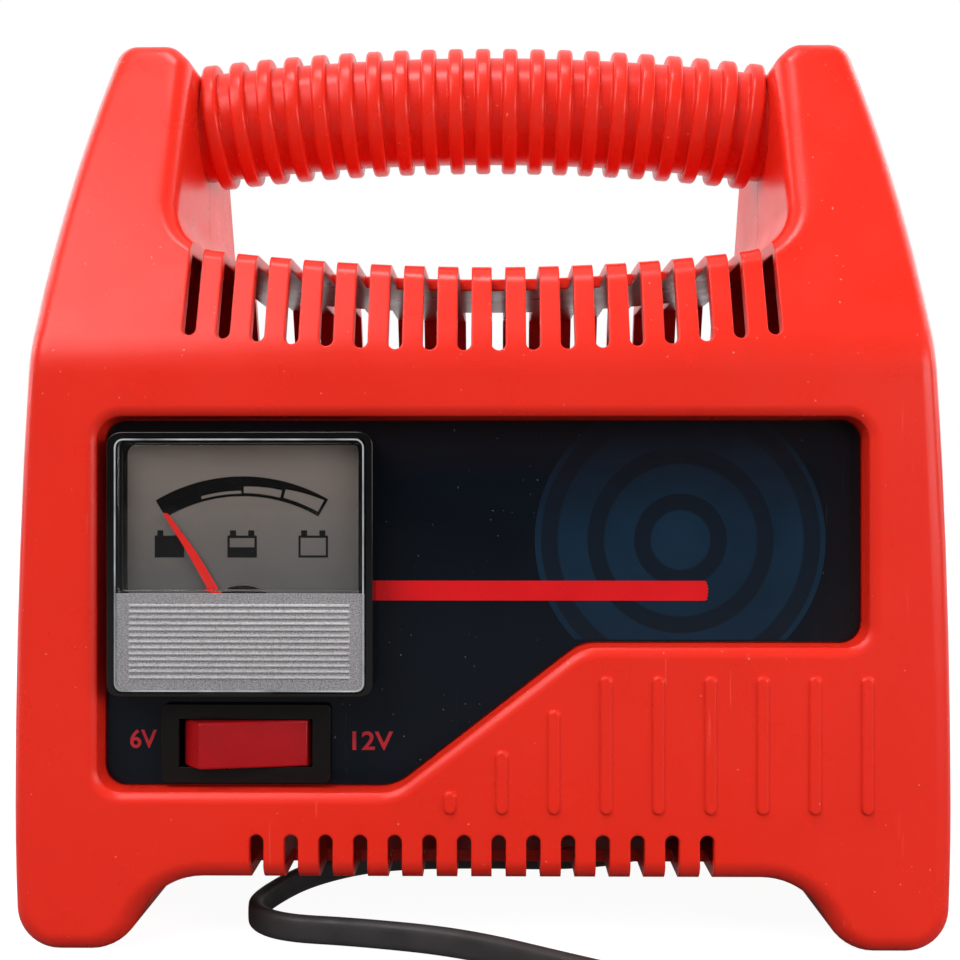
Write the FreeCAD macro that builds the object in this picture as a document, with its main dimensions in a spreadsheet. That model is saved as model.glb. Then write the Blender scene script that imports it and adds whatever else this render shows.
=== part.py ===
import FreeCAD, Part
import math
import os
import re
import Sketcher
from FreeCAD import Placement, Rotation, Vector

# Car battery charger, 6 V / 12 V: a moulded clamshell with a ribbed arched handle, a panel meter and
# a rocker switch in a recessed window, and a transformer with its rectifier inside.
# Millimetres. X to the right, Y to the rear with the shells' seam at 0, Z up from the feet.

SIZES = [
    # Clamshell, outside
    ("body_width", 180.0),
    ("body_depth", 94.0),
    ("wall", 2.4),
    ("widest_height", 28.0),
    ("shoulder_height", 121.0),
    ("foot_side_radius", 480.0),
    ("lower_side_radius", 1330.0),
    ("upper_side_radius", 360.0),
    ("horn_height", 182.5),
    ("horn_corner_radius", 5.0),
    ("horn_slope_radius", 4.5),
    ("horn_inner_half", 65.5),
    ("hole_half_width", 61.5),
    ("hole_corner_radius", 10.0),
    ("saddle_height", 132.5),
    ("saddle_radius", 430.0),
    ("arch_height", 14.0),
    ("arch_flat_half", 53.5),
    ("arch_corner_radius", 14.0),
    ("foot_inner_half", 75.0),
    ("foot_corner_radius", 8.5),
    ("crease_height", 115.0),
    ("crease_radius", 22.0),
    ("lean_angle", 23.0),
    ("edge_radius", 4.0),
    ("saddle_edge_radius", 5.5),
    # Handle
    ("handle_axis_height", 172.8),
    ("handle_bend_radius", 500.0),
    ("grip_core_radius", 11.6),
    ("grip_rib_radius", 13.8),
    ("grip_rib_width", 2.6),
    ("grip_rib_pitch", 5.89),
    ("grip_rib_count", 21),
    # Vents
    ("vent_pitch", 6.6),
    ("vent_width", 2.7),
    ("top_vent_count", 18),
    ("top_vent_bottom", 115.0),
    ("top_vent_arch_radius", 520.0),
    ("vent_roof_strip", 38.0),
    ("bottom_vent_count", 14),
    ("bottom_vent_top", 22.7),
    ("vent_underside_reach", 14.0),
    # Window recess in the front
    ("recess_left", 73.1),
    ("recess_right", 73.4),
    ("recess_top", 102.1),
    ("recess_low_bottom", 31.0),
    ("recess_high_bottom", 58.8),
    ("recess_slope_start", -16.7),
    ("recess_slope_end", 19.2),
    ("recess_corner_radius", 4.2),
    ("recess_slope_radius", 9.0),
    ("recess_depth", 6.0),
    ("recess_draft", 0.5),
    ("recess_lip_radius", 0.9),
    ("tray_wall", 1.8),
    ("tray_floor", 2.0),
    ("panel_thickness", 0.8),
    ("panel_clearance", 0.25),
    # Relief bars beside the window
    ("bar_count", 9),
    ("bar_pitch", 9.9),
    ("bar_first", -6.0),
    ("bar_width", 2.3),
    ("bar_relief", 0.5),
    ("bar_bottom", 26.8),
    ("bar_top", 52.9),
    ("bar_first_top", 31.0),
    ("bar_step", 7.75),
    # Panel meter
    ("meter_centre", -45.7),
    ("meter_base", 49.3),
    ("meter_width", 50.4),
    ("meter_height", 50.6),
    ("meter_corner_radius", 3.0),
    ("meter_rim_wall", 1.4),
    ("meter_rim_depth", 7.2),
    ("meter_floor", 2.2),
    ("meter_fit", 0.15),
    ("meter_cover_proud", 0.5),
    ("meter_cover_face", 1.8),
    ("meter_cover_skirt", 1.0),
    ("meter_window_height", 18.6),
    ("meter_window_thickness", 1.0),
    ("meter_window_rib_pitch", 1.1),
    ("meter_window_rib_count", 13),
    ("meter_window_rib_relief", 0.2),
    ("meter_window_rib_length", 41.4),
    ("dial_thickness", 0.5),
    ("dial_corner_radius", 2.5),
    ("dial_clearance", 0.3),
    ("dial_hole_radius", 11.3),
    ("pivot_height", 58.7),
    ("needle_length", 29.4),
    ("needle_angle", 32.5),
    ("needle_width", 1.6),
    ("needle_tail", 5.0),
    ("needle_thickness", 0.4),
    ("needle_gap", 1.0),
    ("needle_hub_radius", 2.2),
    ("pivot_shaft_radius", 0.6),
    ("shaft_end_gap", 0.3),
    ("shaft_clearance", 0.05),
    ("barrel_radius", 22.0),
    ("barrel_length", 15.0),
    ("barrel_wall", 1.2),
    ("barrel_height", 72.6),
    ("movement_radius", 6.6),
    ("movement_wall", 1.2),
    ("movement_length", 7.0),
    ("bridge_thickness", 1.5),
    ("coil_radius", 4.8),
    ("coil_length", 5.0),
    ("bridge_width", 12.0),
    ("stud_radius", 1.5),
    ("stud_offset", 20.4),
    ("stud_length", 8.0),
    ("stud_clearance", 0.2),
    ("nut_across", 5.5),
    ("nut_thickness", 2.4),
    ("meter_tab_width", 4.8),
    ("meter_tab_thickness", 0.8),
    ("meter_tab_length", 9.0),
    ("meter_tab_spacing", 20.0),
    # Rocker switch
    ("switch_centre", -44.9),
    ("switch_height", 40.3),
    ("switch_frame_width", 32.0),
    ("switch_frame_height", 14.4),
    ("switch_frame_proud", 1.8),
    ("switch_frame_corner", 1.0),
    ("switch_well_width", 25.4),
    ("switch_well_height", 9.4),
    ("switch_body_width", 28.4),
    ("switch_body_height", 12.4),
    ("switch_body_depth", 13.0),
    ("switch_floor", 3.0),
    ("rocker_height", 8.6),
    ("rocker_half_length", 10.4),
    ("rocker_pivot_depth", 3.2),
    ("rocker_face_rise", 6.4),
    ("rocker_foot", 4.2),
    ("rocker_foot_half", 7.0),
    ("rocker_tilt", 10.0),
    ("rocker_edge", 0.5),
    ("rocker_pin_radius", 1.0),
    ("rocker_pin_reach", 1.0),
    ("switch_terminal_width", 6.3),
    ("switch_terminal_thickness", 0.8),
    ("switch_terminal_length", 8.0),
    ("switch_terminal_pitch", 8.6),
    # Case screws and their bosses
    ("screw_radius", 1.6),
    ("screw_clearance", 0.05),
    ("screw_length", 20.0),
    ("screw_head_radius", 3.2),
    ("screw_head_height", 2.4),
    ("screw_seat_depth", 9.0),
    ("screw_hole_radius", 1.8),
    ("screw_well_gap", 0.3),
    ("boss_radius", 5.4),
    ("pilot_boss_radius", 4.0),
    ("low_screw_offset", 81.6),
    ("low_screw_height", 24.0),
    ("high_screw_offset", 73.4),
    ("high_screw_height", 142.0),
    # Transformer
    ("core_centre", 33.0),
    ("core_base", 24.0),
    ("core_width", 78.0),
    ("core_height", 65.0),
    ("core_stack", 38.0),
    ("core_limb", 13.0),
    ("bobbin_wall", 1.2),
    ("core_clearance", 0.2),
    ("winding_build", 9.6),
    ("strap_thickness", 1.2),
    ("strap_reach", 34.0),
    ("strap_ear", 11.0),
    ("strap_ear_height", 20.0),
    ("strap_foot", 6.0),
    ("strap_hole_radius", 2.1),
    ("mount_screw_radius", 1.9),
    ("mount_screw_length", 14.0),
    ("mount_boss_radius", 4.6),
    ("mount_head_radius", 3.6),
    ("mount_head_height", 2.6),
    ("mount_pilot_depth", 16.0),
    ("sink_screw_length", 8.0),
    # Rectifier, breaker and terminals
    ("sink_centre", -42.0),
    ("sink_width", 46.0),
    ("sink_height", 44.0),
    ("sink_thickness", 2.0),
    ("sink_base", 52.0),
    ("sink_standoff", 7.0),
    ("diode_width", 15.6),
    ("diode_height", 20.0),
    ("diode_thickness", 5.0),
    ("diode_pitch", 24.0),
    ("diode_lead_pitch", 5.4),
    ("diode_lead_width", 1.2),
    ("diode_lead_thickness", 0.7),
    ("diode_lead_length", 8.0),
    ("breaker_width", 18.0),
    ("breaker_height", 10.0),
    ("breaker_thickness", 4.0),
    ("block_width", 26.0),
    ("block_height", 12.0),
    ("block_depth", 16.0),
    ("block_centre", -30.0),
    ("block_rear_gap", 8.0),
    ("block_way", 4.2),
    ("block_ways", 3),
    # Cable outlets in the rear
    ("outlet_height", 25.0),
    ("mains_outlet_offset", -12.0),
    ("relief_flange_radius", 7.0),
    ("relief_flange", 2.5),
    ("relief_neck_radius", 5.0),
    ("relief_tip_radius", 3.6),
    ("relief_tail", 20.0),
    ("relief_lip", 2.0),
    ("relief_lip_radius", 6.2),
    ("relief_fit", 0.05),
    ("low_voltage_outlet_offset", -52.0),
    ("grommet_bore_radius", 3.5),
    # Mains lead, its put-away coil and its plug
    ("lead_width", 5.4),
    ("lead_rest_height", 2.85),
    ("coil_centre_x", 37.2),
    ("coil_centre_y", -121.0),
    ("coil_start_angle", 60.0),
    ("coil_mean_radius", 30.1),
    ("coil_pitch", 5.9),
    ("coil_turns_per_layer", 2.75),
    ("coil_lift", 1.35),
    ("tie_thickness", 0.8),
    ("tie_width", 4.0),
    ("tie_gap", 0.5),
    ("plug_width", 35.3),
    ("plug_thickness", 13.6),
    ("plug_length", 36.0),
    ("plug_shoulder", 15.0),
    ("plug_edge_radius", 2.2),
    ("plug_neck_width", 9.6),
    ("plug_neck_thickness", 9.0),
    ("pin_radius", 2.0),
    ("pin_length", 19.0),
    ("pin_spacing", 18.6),
    ("pin_seat", 5.0),
    ("pin_root_radius", 2.4),
]

doc = FreeCAD.newDocument("battery_charger")
sheet = doc.addObject("Spreadsheet::Sheet", "Sizes")
for row, (alias, number) in enumerate(SIZES, start=1):
    sheet.set(f"A{row}", alias)
    sheet.set(f"B{row}", str(number))
    sheet.setAlias(f"B{row}", alias)
doc.recompute()

ALIASES = {alias for alias, number in SIZES}
parts = {}


def bound(formula):
    """The formula with each alias written as the sheet's cell."""
    return re.sub(r"[a-z]\w*", lambda word: f"Sizes.{word[0]}" if word[0] in ALIASES else word[0], formula)


def size(formula):
    """The value of a formula of the sheet's aliases."""
    value = doc.Sizes.evalExpression(bound(formula))
    return float(getattr(value, "Value", value))


def bind(thing, **formulas):
    """Set properties of an object to formulas of the sheet's aliases."""
    for name, formula in formulas.items():
        thing.setExpression(name, bound(formula))


def placed(thing, turn=Rotation(), **formulas):
    """Turn an object and bind its place, given as x, y and z."""
    thing.Placement = Placement(Vector(*(size(formulas.get(axis, "0")) for axis in "xyz")), turn)
    for axis, formula in formulas.items():
        thing.setExpression(f".Placement.Base.{axis}", bound(formula))
    return thing


def part(name, thing):
    """Take a finished object as the sub-part of that name."""
    thing.Label = name
    parts[name] = thing
    return thing


FRONT = Rotation(Vector(1, 0, 0), 90)
SIDE = Rotation(Vector(1, 1, 1), 120)
FLAT = Rotation()
REARWARD = Rotation(Vector(1, 0, 0), -90)


# Lines and arcs of outlines

def flat_point(x, y):
    return Vector(x, y, 0)


def line(start, end):
    return Part.LineSegment(start, end)


def arc_about(centre, radius, start, end):
    """An arc from one angle to another in degrees, drawn through its middle."""
    angles = [math.radians(angle) for angle in (start, (start + end) / 2, end)]
    points = [centre + Vector(radius * math.cos(a), radius * math.sin(a), 0) for a in angles]
    return Part.Arc(*points)


def rounded(corners):
    """A closed outline through (x, y, radius) corners."""
    pieces = []
    count = len(corners)
    ends = []
    for index, (x, y, radius) in enumerate(corners):
        corner = flat_point(x, y)
        before = (flat_point(*corners[index - 1][:2]) - corner).normalize()
        after = (flat_point(*corners[(index + 1) % count][:2]) - corner).normalize()
        half = before.getAngle(after) / 2
        reach = radius / math.tan(half)
        start, end = corner + before * reach, corner + after * reach
        if radius:
            middle = corner + (before + after).normalize() * (radius / math.sin(half) - radius)
            pieces.append(Part.Arc(start, middle, end))
        ends.append((start, end))
    for index in range(count):
        start, end = ends[index - 1][1], ends[index][0]
        if start.distanceToPoint(end) > 1e-6:
            pieces.append(line(start, end))
    return pieces


def slot_outline(x, low, high, width):
    """A round-ended slot that stands upright in its sketch."""
    radius = width / 2
    return [
        line(flat_point(x + radius, low + radius), flat_point(x + radius, high - radius)),
        arc_about(flat_point(x, high - radius), radius, 0, 180),
        line(flat_point(x - radius, high - radius), flat_point(x - radius, low + radius)),
        arc_about(flat_point(x, low + radius), radius, 180, 360),
    ]


def box_outline(x, y, width, height, radius=0.0):
    """A rectangle about its centre, with rounded corners."""
    right, top = x + width / 2, y + height / 2
    left, low = x - width / 2, y - height / 2
    return rounded([(left, low, radius), (right, low, radius), (right, top, radius), (left, top, radius)])


def regular_outline(sides, corner):
    """A regular outline about the sketch's origin, whose corners lie at a radius and whose lowest side is level."""
    angles = [2 * math.pi * (index + 0.5) / sides - math.pi / 2 for index in range(sides)]
    return rounded([(corner * math.cos(angle), corner * math.sin(angle), 0) for angle in angles])


def circle(x, y, radius):
    return [Part.Circle(flat_point(x, y), Vector(0, 0, 1), radius)]


# Objects of the document

def sketch(name, plane, geometry, **place):
    """A free sketch on a turned plane, for the solids that are made by booleans."""
    drawing = doc.addObject("Sketcher::SketchObject", name)
    drawing.addGeometry(geometry, False)
    return placed(drawing, plane, **place)


def prism(name, drawing, ahead="0", behind="0"):
    """A sketch drawn out along its normal by ahead, and the other way by behind."""
    solid = doc.addObject("Part::Extrusion", name)
    solid.Base = drawing
    solid.DirMode = "Normal"
    solid.Solid = True
    bind(solid, LengthFwd=ahead, LengthRev=behind)
    return solid


def inset(name, drawing, formula):
    """A closed outline moved inwards by a formula."""
    moved = doc.addObject("Part::Offset2D", name)
    moved.Source = drawing
    bind(moved, Value=f"-({formula})")
    return moved


def outset(name, drawing, formula):
    """A closed outline moved outwards by a formula."""
    return inset(name, drawing, f"-({formula})")


def common(name, *things):
    solid = doc.addObject("Part::MultiCommon", name)
    solid.Shapes = list(things)
    return solid


def fused(name, *things):
    solid = doc.addObject("Part::MultiFuse", name)
    solid.Shapes = list(things)
    return solid


def cut(name, base, *tools):
    """A solid less its tools, which are joined first."""
    solid = doc.addObject("Part::Cut", name)
    solid.Base = base
    solid.Tool = tools[0] if len(tools) == 1 else fused(name + "_tools", *tools)
    return solid


def cylinder(name, radius, height, turn=FLAT, **place):
    solid = doc.addObject("Part::Cylinder", name)
    bind(solid, Radius=radius, Height=height)
    return placed(solid, turn, **place)


def cone(name, low_radius, high_radius, height, turn=FLAT, **place):
    solid = doc.addObject("Part::Cone", name)
    bind(solid, Radius1=low_radius, Radius2=high_radius, Height=height)
    return placed(solid, turn, **place)


def block(name, length, width, height, **place):
    solid = doc.addObject("Part::Box", name)
    bind(solid, Length=length, Width=width, Height=height)
    return placed(solid, FLAT, **place)


def group(name, *things):
    solid = doc.addObject("Part::Compound", name)
    solid.Links = list(things)
    return solid


def edge_faces(shape, edge):
    return shape.ancestorsOfType(edge, Part.Face)


def softened(name, base, radius_at):
    """Round the edges to which radius_at gives a radius."""
    doc.recompute()
    shape = base.Shape
    chosen = []
    for index, edge in enumerate(shape.Edges, start=1):
        radius = radius_at(shape, edge)
        if radius:
            chosen.append((index, radius, radius))
    solid = doc.addObject("Part::Fillet", name)
    solid.Base = base
    solid.Edges = chosen
    return solid


# Moulded form that the two shells share

def body_outline():
    """The front view: arched underside, gently curved sides, two horns and the saddle between them."""
    half = size("body_width / 2")
    lower, upper = size("lower_side_radius"), size("upper_side_radius")
    widest, shoulder = size("widest_height"), size("shoulder_height")
    top, corner = size("horn_height"), size("horn_corner_radius")
    foot, toe = size("foot_corner_radius"), size("foot_inner_half")
    arch, flat = size("arch_height"), size("arch_flat_half")
    sweep = 2 * math.degrees(math.atan(arch / (toe - flat)))
    arch_radius = size("arch_corner_radius")
    toe_radius = arch / (1 - math.cos(math.radians(sweep))) - arch_radius

    side = size("foot_side_radius")
    foot_reach = math.sqrt((side - foot) ** 2 - (widest - foot) ** 2)
    foot_centre = flat_point(half - side + foot_reach, foot)
    foot_lean = math.degrees(math.atan2(foot - widest, foot_reach))
    lower_centre = flat_point(half - lower, widest)
    lean = math.degrees(math.asin((shoulder - widest) / lower))
    along = Vector(math.cos(math.radians(lean)), math.sin(math.radians(lean)), 0)
    upper_centre = lower_centre + along * (lower - upper)
    corner_height = top - corner
    reach = math.sqrt((upper - corner) ** 2 - (corner_height - upper_centre.y) ** 2)
    horn_centre = flat_point(upper_centre.x + reach, corner_height)
    horn_lean = math.degrees(math.atan2(corner_height - upper_centre.y, reach))

    wall, hole_corner = size("hole_half_width"), size("hole_corner_radius")
    saddle_centre = flat_point(0, size("saddle_height + saddle_radius"))
    saddle = size("saddle_radius")
    hole_centre_x = wall - hole_corner
    drop = math.sqrt((saddle - hole_corner) ** 2 - hole_centre_x ** 2)
    hole_centre = flat_point(hole_centre_x, saddle_centre.y - drop)
    saddle_lean = math.degrees(math.atan2(hole_centre_x, drop))

    slope_top = size("horn_inner_half")
    slope_low = top - (slope_top - wall)
    slope_turn = size("horn_slope_radius") * math.tan(math.radians(22.5))
    slope_radius = size("horn_slope_radius")
    diagonal = slope_turn * math.sqrt(0.5)

    right = [
        arc_about(flat_point(flat, arch - arch_radius), arch_radius, 90, 90 - sweep),
        arc_about(flat_point(toe, toe_radius), toe_radius, 270 - sweep, 270),
        line(flat_point(toe, 0), flat_point(foot_centre.x, 0)),
        arc_about(foot_centre, foot, -90, foot_lean),
        arc_about(flat_point(half - side, widest), side, foot_lean, 0),
        arc_about(lower_centre, lower, 0, lean),
        arc_about(upper_centre, upper, lean, horn_lean),
        arc_about(horn_centre, corner, horn_lean, 90),
        line(flat_point(horn_centre.x, top), flat_point(slope_top + slope_turn, top)),
        arc_about(flat_point(slope_top + slope_turn, top - slope_radius), slope_radius, 90, 135),
        line(flat_point(slope_top - diagonal, top - diagonal), flat_point(wall + diagonal, slope_low + diagonal)),
        arc_about(flat_point(wall + slope_radius, slope_low - slope_turn), slope_radius, 135, 180),
        line(flat_point(wall, slope_low - slope_turn), flat_point(wall, hole_centre.y)),
        arc_about(hole_centre, hole_corner, 0, saddle_lean - 90),
    ]
    turned = Rotation(Vector(0, 1, 0), 180)
    left = []
    for piece in right:
        copy = piece.copy()
        copy.rotate(Placement(Vector(0, 0, 0), turned))
        left.append(copy)
    underside = line(flat_point(-flat, arch), flat_point(flat, arch))
    saddle_arc = arc_about(saddle_centre, saddle, saddle_lean - 90, -saddle_lean - 90)
    return [underside] + right + [saddle_arc] + left


def depth_profile():
    """The side view: upright faces that lean towards the handle above a soft crease."""
    depth, crease = size("body_depth / 2"), size("crease_height")
    low, high = -size("wall") * 3, size("horn_height") + size("wall") * 4
    narrow = depth - (high - crease) * math.tan(math.radians(size("lean_angle")))
    radius = size("crease_radius")
    return rounded([
        (-depth, low, 0), (depth, low, 0), (depth, crease, radius),
        (narrow, high, 0), (-narrow, high, 0), (-depth, crease, radius),
    ])


front_view = sketch("front_view", FRONT, body_outline())
side_view = sketch("side_view", SIDE, depth_profile())


def moulding(name, margin):
    """The shells' common form, set in by a margin."""
    face, flank = front_view, side_view
    if margin:
        face = inset(name + "_front_view", front_view, margin)
        flank = inset(name + "_side_view", side_view, margin)
    across = prism(name + "_across", face, "body_depth", "body_depth")
    along = prism(name + "_along", flank, "body_width", "body_width")
    return common(name, across, along)


def shell_edge_radius(shape, edge):
    """The radius of an edge between the front or rear face and the outline."""
    middle = edge.valueAt((edge.FirstParameter + edge.LastParameter) / 2)
    direction = edge.tangentAt((edge.FirstParameter + edge.LastParameter) / 2)
    if abs(direction.y) > 0.99:
        return 0
    normals = []
    for face in edge_faces(shape, edge):
        u, v = face.Surface.parameter(middle)
        normals.append(face.normalAt(u, v))
    if len(normals) < 2 or normals[0].getAngle(normals[1]) < math.radians(15):
        return 0
    on_saddle = abs(middle.x) < size("hole_half_width - hole_corner_radius / 2")
    return size("saddle_edge_radius" if on_saddle and middle.z > size("crease_height") else "edge_radius")


outer_form = softened("outer_form", moulding("outer_block", ""), shell_edge_radius)
cavity = moulding("cavity", "wall")
mid_form = moulding("mid_form", "wall / 2")
hollow_form = cut("hollow_form", outer_form, cavity)


# Arched handle with ring ribs

def grip_form():
    """The bar in short straight lengths along its arc, with a rib square to it at each joint."""
    bend = size("handle_bend_radius")
    centre = Vector(0, 0, size("handle_axis_height") - bend)
    step = size("grip_rib_pitch / handle_bend_radius")
    count = int(size("grip_rib_count"))
    end = math.asin(size("(hole_half_width + wall / 2) / handle_bend_radius"))
    angles = [-end] + [(index - (count - 1) / 2) * step for index in range(count)] + [end]

    def station(angle):
        return centre + Vector(bend * math.sin(angle), 0, bend * math.cos(angle))

    solids = []
    half = size("grip_rib_width / 2")
    for before, after in zip(angles, angles[1:]):
        start, run = station(before), station(after) - station(before)
        solids.append(Part.makeCylinder(size("grip_core_radius"), run.Length, start, run))
    for angle in angles[1:-1]:
        along = Vector(math.cos(angle), 0, -math.sin(angle))
        solids.append(Part.makeCylinder(size("grip_rib_radius"), 2 * half, station(angle) - along * half, along))
    return solids[0].multiFuse(solids[1:])


grip = doc.addObject("Part::Feature", "grip_form")
grip.Shape = grip_form()


# Vent slots: upright in the front view, wrapped over the shoulder and under the edge in the plan view

def vent_places(count):
    return [(index - (count - 1) / 2) * size("vent_pitch") for index in range(count)]


def top_vents_front():
    radius, low = size("top_vent_arch_radius"), size("top_vent_bottom")
    high = size("saddle_height + hole_corner_radius * 2")
    outlines = []
    for x in vent_places(int(size("top_vent_count"))):
        rise = radius - math.sqrt(radius ** 2 - x ** 2)
        outlines += slot_outline(x, low + rise, high, size("vent_width"))
    return outlines


def bottom_vents_front():
    outlines = []
    for x in vent_places(int(size("bottom_vent_count"))):
        outlines += slot_outline(x, size("arch_height / 3"), size("bottom_vent_top"), size("vent_width"))
    return outlines


def vents_plan(count, inner_end):
    outlines = []
    outer_end = size("body_depth / 2 + vent_pitch * 2")
    for x in vent_places(count):
        for side in (-1, 1):
            outlines += box_outline(x, side * (inner_end + outer_end) / 2, size("vent_width"), outer_end - inner_end)
    return outlines


top_slots = common(
    "top_slots",
    prism("top_slots_front", sketch("top_vents_front", FRONT, top_vents_front()), "body_depth", "body_depth"),
    prism("top_slots_plan",
          sketch("top_vents_plan", FLAT, vents_plan(int(size("top_vent_count")), size("vent_roof_strip / 2")),
                 z="crease_height - wall * 3"),
          "horn_height / 3"),
)
bottom_slots = common(
    "bottom_slots",
    prism("bottom_slots_front", sketch("bottom_vents_front", FRONT, bottom_vents_front()),
          "body_depth", "body_depth"),
    prism("bottom_slots_plan",
          sketch("bottom_vents_plan", FLAT,
                 vents_plan(int(size("bottom_vent_count")), size("body_depth / 2 - vent_underside_reach"))),
          "bottom_vent_top + wall"),
)


# Front shell

def recess_outline():
    """The window at its floor: wide above, with a slope down to a deeper left part."""
    left, right, top = -size("recess_left"), size("recess_right"), size("recess_top")
    low, high = size("recess_low_bottom"), size("recess_high_bottom")
    corner, bend = size("recess_corner_radius"), size("recess_slope_radius")
    return rounded([
        (left, low, corner), (size("recess_slope_start"), low, bend), (size("recess_slope_end"), high, bend),
        (right, high, corner), (right, top, corner), (left, top, corner),
    ])


def relief_bars():
    """Upright bars beside the window, which follow its slope on the left."""
    outlines = []
    for index in range(int(size("bar_count"))):
        x = size("bar_first") + index * size("bar_pitch")
        high = min(size("bar_top"), size("bar_first_top") + index * size("bar_step"))
        outlines += slot_outline(x, size("bar_bottom"), high, size("bar_width"))
    return outlines


FLOOR_AHEAD = "body_depth / 2 - recess_depth"
PANEL_AHEAD = "body_depth / 2 - recess_depth + panel_thickness"
front_half = block("front_half", "body_width * 2", "body_depth", "horn_height * 2",
                   x="-body_width", y="-body_depth", z="-horn_height / 2")
rear_half = block("rear_half", "body_width * 2", "body_depth", "horn_height * 2",
                  x="-body_width", z="-horn_height / 2")

recess_floor = sketch("recess_floor", FRONT, recess_outline(), y=f"-({FLOOR_AHEAD})")
recess_face = sketch("recess_face", FRONT, recess_outline(), y="-body_depth / 2")
recess = doc.addObject("Part::Loft", "recess")
recess.Sections = [recess_floor, outset("recess_lip", recess_face, "recess_draft")]
recess.Solid = True
recess.Ruled = True
lip_inner = sketch("lip_inner", FRONT, recess_outline(), y="-(body_depth / 2 - recess_lip_radius)")
lip_outer = sketch("lip_outer", FRONT, recess_outline(), y="-(body_depth / 2 + recess_lip_radius)")
recess_lip = doc.addObject("Part::Loft", "recess_lip")
recess_lip.Sections = [outset("lip_inner_edge", lip_inner, "recess_draft"),
                       outset("lip_outer_edge", lip_outer, "recess_draft + recess_lip_radius * 2")]
recess_lip.Solid = True
recess_lip.Ruled = True
tray_outline = sketch("tray_outline", FRONT, recess_outline(), y="-(body_depth / 2 - recess_depth - tray_floor)")
tray = prism("tray", outset("tray_edge", tray_outline, "tray_wall + recess_draft"),
             "recess_depth + tray_floor - wall / 2")
bars = prism("relief_bars", sketch("bar_outlines", FRONT, relief_bars(), y="-(body_depth / 2 - wall / 2)"),
             "wall / 2 + bar_relief")

SCREW_PLACES = [
    ("low_left", "-low_screw_offset", "low_screw_height"),
    ("low_right", "low_screw_offset", "low_screw_height"),
    ("high_left", "-high_screw_offset", "high_screw_height"),
    ("high_right", "high_screw_offset", "high_screw_height"),
]


def at_screws(name, radius, length, turn=FRONT, start="0"):
    """One cylinder along Y at each case screw."""
    return [cylinder(f"{name}_{place}", radius, length, turn, x=x, y=start, z=z) for place, x, z in SCREW_PLACES]


PILOT_DEPTH = "screw_length - screw_seat_depth + 1"
pilot_bosses = common("pilot_bosses", fused("pilot_boss_rods", *at_screws("pilot_boss", "pilot_boss_radius",
                                                                        "body_depth / 2")), mid_form)
front_shell = common("front_shell", fused("front_walls", hollow_form, grip), front_half)
front_filled = fused("front_filled", front_shell, tray, bars, pilot_bosses)


def meter_holes(name, ahead, length, gap):
    """Tools for the meter's barrel and studs and for the switch, through the tray or the panel."""
    start = f"-({ahead})"
    barrel_hole = cylinder(name + "_barrel", f"barrel_radius + {gap}", length, REARWARD,
                           x="meter_centre", y=start, z="barrel_height")
    studs = [cylinder(f"{name}_stud_{index}", f"stud_radius + {gap}", length, REARWARD,
                      x=f"meter_centre + {side} * stud_offset", y=start,
                      z=f"meter_base + meter_height / 2 + {level} * stud_offset")
             for index, (side, level) in enumerate([(-1, -1), (1, -1), (-1, 1), (1, 1)])]
    switch_hole = block(name + "_switch", f"switch_body_width + 2 * {gap}", length,
                        f"switch_body_height + 2 * {gap}",
                        x=f"switch_centre - switch_body_width / 2 - {gap}", y=start,
                        z=f"switch_height - switch_body_height / 2 - {gap}")
    return [barrel_hole, *studs, switch_hole]


front_cover = part("front_cover", cut(
    "front_cover_form", front_filled, recess, recess_lip, top_slots, bottom_slots,
    *meter_holes("tray_hole", FLOOR_AHEAD + " + wall", "tray_floor + wall * 2", "stud_clearance"),
    *at_screws("pilot_hole", "screw_radius + screw_clearance", PILOT_DEPTH),
))


# Rear shell

def mount_place(side):
    """X of a transformer mounting boss, on the left with side -1 and on the right with 1."""
    return f"core_centre + {side} * (core_width / 2 + strap_thickness + strap_ear / 2)"


MOUNT_HEIGHT = "core_base + core_height / 2"
EAR_REAR = "core_stack / 2 + strap_thickness"
SINK_REAR = "body_depth / 2 - wall - sink_standoff"
SINK_MIDDLE = "sink_base + sink_height / 2"
OUTLETS = [("mains", "mains_outlet_offset"), ("low_voltage", "low_voltage_outlet_offset")]
WALL_START = "body_depth / 2 - wall * 2"

screw_bosses = at_screws("screw_boss", "boss_radius", "body_depth / 2", REARWARD)
mount_bosses = [cylinder(f"mount_boss_{side}", "mount_boss_radius", f"body_depth / 2 - ({EAR_REAR})", REARWARD,
                         x=mount_place(side), y=EAR_REAR, z=MOUNT_HEIGHT) for side in (-1, 1)]
sink_boss = cylinder("sink_boss", "mount_boss_radius", "sink_standoff + wall", REARWARD,
                     x="sink_centre", y=SINK_REAR, z=SINK_MIDDLE)
rear_bosses = common("rear_bosses", fused("rear_boss_rods", *screw_bosses, *mount_bosses, sink_boss), mid_form)
rear_shell = common("rear_shell", fused("rear_walls", hollow_form, grip), rear_half)
rear_filled = fused("rear_filled", rear_shell, rear_bosses)
mount_pilots = [cylinder(f"mount_pilot_{side}", "mount_screw_radius + screw_clearance", "mount_pilot_depth",
                         REARWARD, x=mount_place(side), y=EAR_REAR, z=MOUNT_HEIGHT) for side in (-1, 1)]
sink_pilot = cylinder("sink_pilot", "mount_screw_radius + screw_clearance", "sink_standoff", REARWARD,
                      x="sink_centre", y=SINK_REAR, z=SINK_MIDDLE)
outlet_holes = [cylinder(f"{name}_outlet_hole", "relief_neck_radius + relief_fit", "wall * 3", REARWARD,
                         x=x, y=WALL_START, z="outlet_height") for name, x in OUTLETS]
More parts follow.
